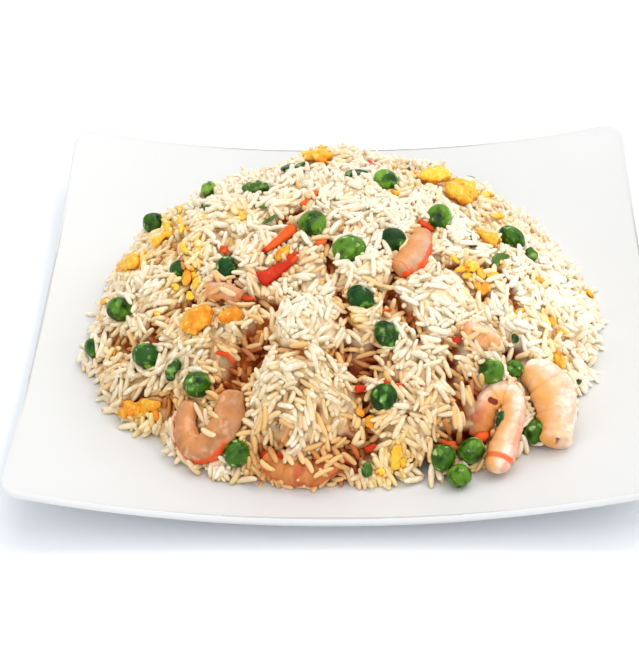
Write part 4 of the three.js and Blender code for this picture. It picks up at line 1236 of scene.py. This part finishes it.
def grain_meshes(a, b, width, length, rng):
    """Every grain's points: a slightly bent, tapered bar of flattened section."""
    count = len(a)
    along = unit(b - a)
    side = unit(np.cross(along, rng.normal(size=(count, 3))))
    up = np.cross(along, side)
    bend = rng.uniform(0, MOST_BEND, count)
    taper = rng.normal(0, TAPER_SPREAD, count)
    angle = TAU * np.arange(GRAIN_SIDES) / GRAIN_SIDES
    stations = [(-1.0, 0.0, 1)] + [(s, g, GRAIN_SIDES) for s, g in GRAIN_RINGS] + [(1.0, 0.0, 1)]
    centre = (a + b) / 2
    rings = []
    for place, girth, sides in stations:
        middle = centre + along * (place * length / 2)[:, None] + up * (bend * (0.4 - place ** 2))[:, None]
        size = girth * width / 2 * (1 + taper * place)
        turn = angle[:sides]
        rings.append(middle[:, None]
                     + side[:, None] * (size[:, None] * np.cos(turn))[..., None]
                     + up[:, None] * (GRAIN_FLATNESS * size[:, None] * np.sin(turn))[..., None])
    return np.concatenate(rings, 1), loft_triangles(len(GRAIN_RINGS), GRAIN_SIDES)


def core_piece(relief):
    """The pressed mass under the top grains, with painted shade in dark red of oil where the gaps cut into
    it, and painted light and shade in its tone.
    """
    t = np.linspace(0, 1, CORE_RINGS + 1)[1:] ** 0.8
    angle = TAU * np.arange(CORE_AROUND) / CORE_AROUND
    radius = t[:, None] * (heap_edge(angle) - CORE_INSET)
    x, y = (radius * np.cos(angle)).ravel(), (radius * np.sin(angle)).ravel()
    surface = on_heap(x, y)
    _, rise, cut = relief.height(surface, False)
    grain = sum(height * rough(surface, size, seed) for height, size, seed in CORE_GRAIN)
    surface += heap_normal(x, y) * (rise + CORE_LEVEL + grain)[:, None]
    surface[:, 2] = np.maximum(surface[:, 2], FLOOR_TOP + GAP + 0.1)
    top = surface[:CORE_AROUND, 2].mean()
    points = np.concatenate([[[0, 0, top]], surface, [[0, 0, FLOOR_TOP + GAP]]])
    edged = lambda values: np.concatenate([[0], values, [0]])
    # painted shade: depth grows where the mass lies low and where gaps and pits cut in
    depth = np.clip(0.25 - rise / CREVICE, 0, 1) * 0.5 + np.clip(cut / PIT_DEPTH, 0, 1)
    plan = surface[:, :2]
    looks = {"depth": depth + 0.6 * patches(plan, OIL_AND_SHADE), "yolk": patches(plan, YOLK),
             "tone": 0.5 + painted_light_and_shade_at(plan)}
    looks = {key: edged(np.clip(values, 0, 1)) for key, values in looks.items()}
    parts = [(points, loft_triangles(CORE_RINGS, CORE_AROUND), looks)]
    add_piece("rice_core", parts, core_material(), ["rice"])


def grain_looks(a, b, points, relief, warm_balls, egg_balls, rng):
    """The looks of the grains' points: tone with painted light and shade, stain of oil and painted shade,
    yolk, and how deep they lie, which paints shade.
    """
    middle = (a + b) / 2
    plan = middle[:, :2]
    height, _ = level(middle)
    ground = relief.height(on_heap(*plan.T))[1]
    over = level(points.reshape(-1, 3))[0].reshape(points.shape[:2]) - ground[:, None]
    uneven = rng.uniform(0.5, 1.15, len(a))
    # painted shade on whole grains that lie deep in the heap
    depth_shade = np.clip((-DEPTH_SHADE_FROM - height) / DEPTH_SHADE_REACH, 0, 1) * 0.95
    # painted shade on grains in the gaps and pits
    gap_shade = 1.1 * np.clip(relief.cut(plan) / PIT_DEPTH - 0.35, 0, 1)
    touch_stain = 0.3 * near_balls(middle, warm_balls, TOUCH_REACH)
    stain = depth_shade + (patches(plan, OIL_AND_SHADE) + gap_shade) * uneven + touch_stain
    stain = np.clip(stain + rng.normal(0.0, 0.05, len(a)), 0, 1)
    yolk = patches(plan, YOLK) * uneven + 0.35 * near_balls(middle, egg_balls, TOUCH_REACH)
    # a random tone plus painted light and shade
    tone = np.clip(rng.normal(0.6, 0.15, len(a)) + painted_light_and_shade_at(plan), 0, PALEST)
    whole = {"tone": tone, "stain": stain, "yolk": np.clip(yolk, 0, 0.9)}
    # deep: painted shade on the points that lie low among the grains
    return {"deep": np.clip((DEEP_FROM - over) / DEEP_REACH, 0, 1),
            **{key: np.repeat(values[:, None], points.shape[1], 1) for key, values in whole.items()}}


def grain_pieces(points, triangles, looks):
    """The grains dealt out over a few pieces."""
    rice = rice_material()
    for k in range(GRAIN_PIECES):
        chosen = slice(k, None, GRAIN_PIECES)
        own = points[chosen]
        shifts = own.shape[1] * np.arange(len(own))[:, None, None]
        part = (own.reshape(-1, 3), (triangles[None] + shifts).reshape(-1, 3),
                {key: values[chosen].ravel() for key, values in looks.items()})
        add_piece(f"rice_grains_{k + 1}", [part], rice, ["rice"])


# ---------- build ----------

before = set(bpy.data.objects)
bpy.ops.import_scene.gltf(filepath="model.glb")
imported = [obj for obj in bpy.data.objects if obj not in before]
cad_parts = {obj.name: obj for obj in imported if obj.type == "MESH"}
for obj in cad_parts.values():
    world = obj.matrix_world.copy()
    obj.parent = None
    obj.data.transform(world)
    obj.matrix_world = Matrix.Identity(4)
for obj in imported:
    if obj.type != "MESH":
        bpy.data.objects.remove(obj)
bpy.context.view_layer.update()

plate_piece()

rng = np.random.default_rng(SEED)
peas, pea_balls = pea_parts(rng)
add_piece("peas", peas, pea_material(), numbered("pea", PEAS))
shrimps, shrimp_balls = shrimp_parts()
add_piece("shrimps", shrimps, shrimp_material(), numbered("shrimp", SHRIMPS))

beans = strips(BEANS, 60, BEAN_TONES, lambda width: (width * 0.85, width * 0.85),
               lumpy=0.6, ends=0.45, features=2.4)
eggs = strips(EGGS, 80, EGG_TONES, lambda width, thick: (width, thick),
              lumpy=1.2, ends=0.35, features=5, sides=32, count=40)
reds = [strip(start, end, width * 0.85, thick * 0.8, 100 + i, tone, 0.25, 0.15, square=0.3, taper=taper)
        for i, ((start, end, width, thick), (tone, taper)) in enumerate(zip(CARROTS + TAILS, RED_LOOKS))]
scallions = strips(SCALLIONS, 120, rng.uniform(0, 0.5, len(SCALLIONS)), lambda width: (width, width * 0.45),
                   lumpy=0.1, ends=0.4, clearance=0.4, bend=0.2)
scraps = strips(SCRAPS, 140, rng.random(len(SCRAPS)), lambda width: (width, width * 0.6),
                lumpy=0.6, ends=0.4, clearance=0.2)
egg_bits, red_bits, green_bits = bits(EGG_BITS, 200), bits(RED_BITS, 300), bits(GREEN_BITS, 400, 0.45, 0.1)
leaf = wedged_leaf(SLIT_LEAF, shrimp_balls[0], SLIT_LEAF_WIDTH, 0.0)

greens, yellow, red = scallion_material(), egg_material(), red_material()
add_piece("beans", parts_of(beans), greens, numbered("bean", BEANS))
add_piece("eggs", parts_of(eggs), yellow, numbered("egg", EGGS))
add_piece("red_strips", parts_of(reds), red, numbered("carrot", CARROTS) + numbered("tail", TAILS))
add_piece("scallion_slivers", parts_of(scallions, green_bits) + [leaf], greens, ["rice"])
add_piece("egg_scraps", parts_of(scraps, egg_bits), yellow, ["rice"])
add_piece("red_scraps", parts_of(red_bits), red, ["rice"])

egg_balls, red_balls = balls_of(eggs, scraps, egg_bits), balls_of(reds, red_bits)
green_balls = balls_of(beans, scallions, green_bits)
warm_balls = shrimp_balls + red_balls
kept_off = [(centres, radii * look[6]) for (centres, radii), look in zip(shrimp_balls, SHRIMP_LOOKS)]
relief = Relief(rng, *joined(kept_off + pea_balls + egg_balls + red_balls + green_balls))
core_piece(relief)

settled = settle(rng, relief)
settled = [values[~in_gaps(*settled[:2], relief)] for values in settled]
settled = [np.concatenate(pair) for pair in zip(settled, fillers(*settled[:2], relief, rng))]
shown = [(ball, SHOWN_SUNK_PEA if i + 1 in PEA_SINKING else SHOWN_PEA)
         for i, ball in enumerate(pea_balls[:-HIDDEN_PEAS])]
shown += [(ball, look[7]) for ball, look in zip(shrimp_balls, SHRIMP_LOOKS)]
shown += [(ball, SHOWN_RED) for ball in balls_of(reds)] + [(ball, SHOWN_EGG) for ball in balls_of(eggs)]
hiding = in_front(*settled[:3], shown)
loose = loose_grains(*joined(pea_balls + egg_balls + warm_balls + green_balls))
a, b, width, length = (np.concatenate([values[~hiding], more]) for values, more in zip(settled, loose))
points, triangles = grain_meshes(a, b, width, length, rng)
grain_pieces(points, triangles, grain_looks(a, b, points, relief, warm_balls, egg_balls, rng))

# ---------- stage, light and camera ----------

floor_mesh = bpy.data.meshes.new("floor")
corners = [(x * FLOOR_HALF, y * FLOOR_HALF, 0) for x, y in ((-1, -1), (1, -1), (1, 1), (-1, 1))]
floor_mesh.from_pydata(corners, [], [(0, 1, 2, 3)])
floor = bpy.data.objects.new("floor", floor_mesh)
bpy.context.scene.collection.objects.link(floor)
floor_mesh.materials.append(Nodes("pale_floor").finish((0.85, 0.87, 0.90, 1), 0.9, 0.1))

world = bpy.data.worlds.new("soft_box")
bpy.context.scene.world = world
world.use_nodes = True
sky = world.node_tree.nodes["Background"].inputs
sky["Color"].default_value, sky["Strength"].default_value = (0.94, 0.97, 1.0, 1), 0.86


def sun(name, azimuth, elevation, strength, angle, colour):
    """A soft light from a direction: azimuth from +X towards +Y, in degrees."""
    light = bpy.data.lights.new(name, "SUN")
    light.energy, light.angle, light.color = strength, math.radians(angle), colour
    lamp = bpy.data.objects.new(name, light)
    az, el = math.radians(azimuth), math.radians(elevation)
    back = Vector((math.cos(az) * math.cos(el), math.sin(az) * math.cos(el), math.sin(el)))
    lamp.rotation_euler = back.to_track_quat("Z", "Y").to_euler()
    bpy.context.scene.collection.objects.link(lamp)


sun("key", 40, 66, 1.2, 80, (1.0, 0.975, 0.94))
sun("fill", -95, 32, 0.9, 90, (1.0, 0.98, 0.95))
sun("spark", 25, 60, 0.35, 10, (1.0, 1.0, 0.99))

place, right, up, forward = camera_axes()
camera = bpy.data.objects.new("camera", bpy.data.cameras.new("camera"))
bpy.context.scene.collection.objects.link(camera)
camera.data.lens, camera.data.sensor_width = LENS, SENSOR
camera.data.clip_start, camera.data.clip_end = 0.01, 20
turn = Matrix((right, up, -forward)).transposed().to_4x4()
camera.matrix_world = Matrix.Translation(Vector(place * MM)) @ turn
bpy.context.scene.camera = camera
bpy.context.scene.view_settings.view_transform = "Standard"
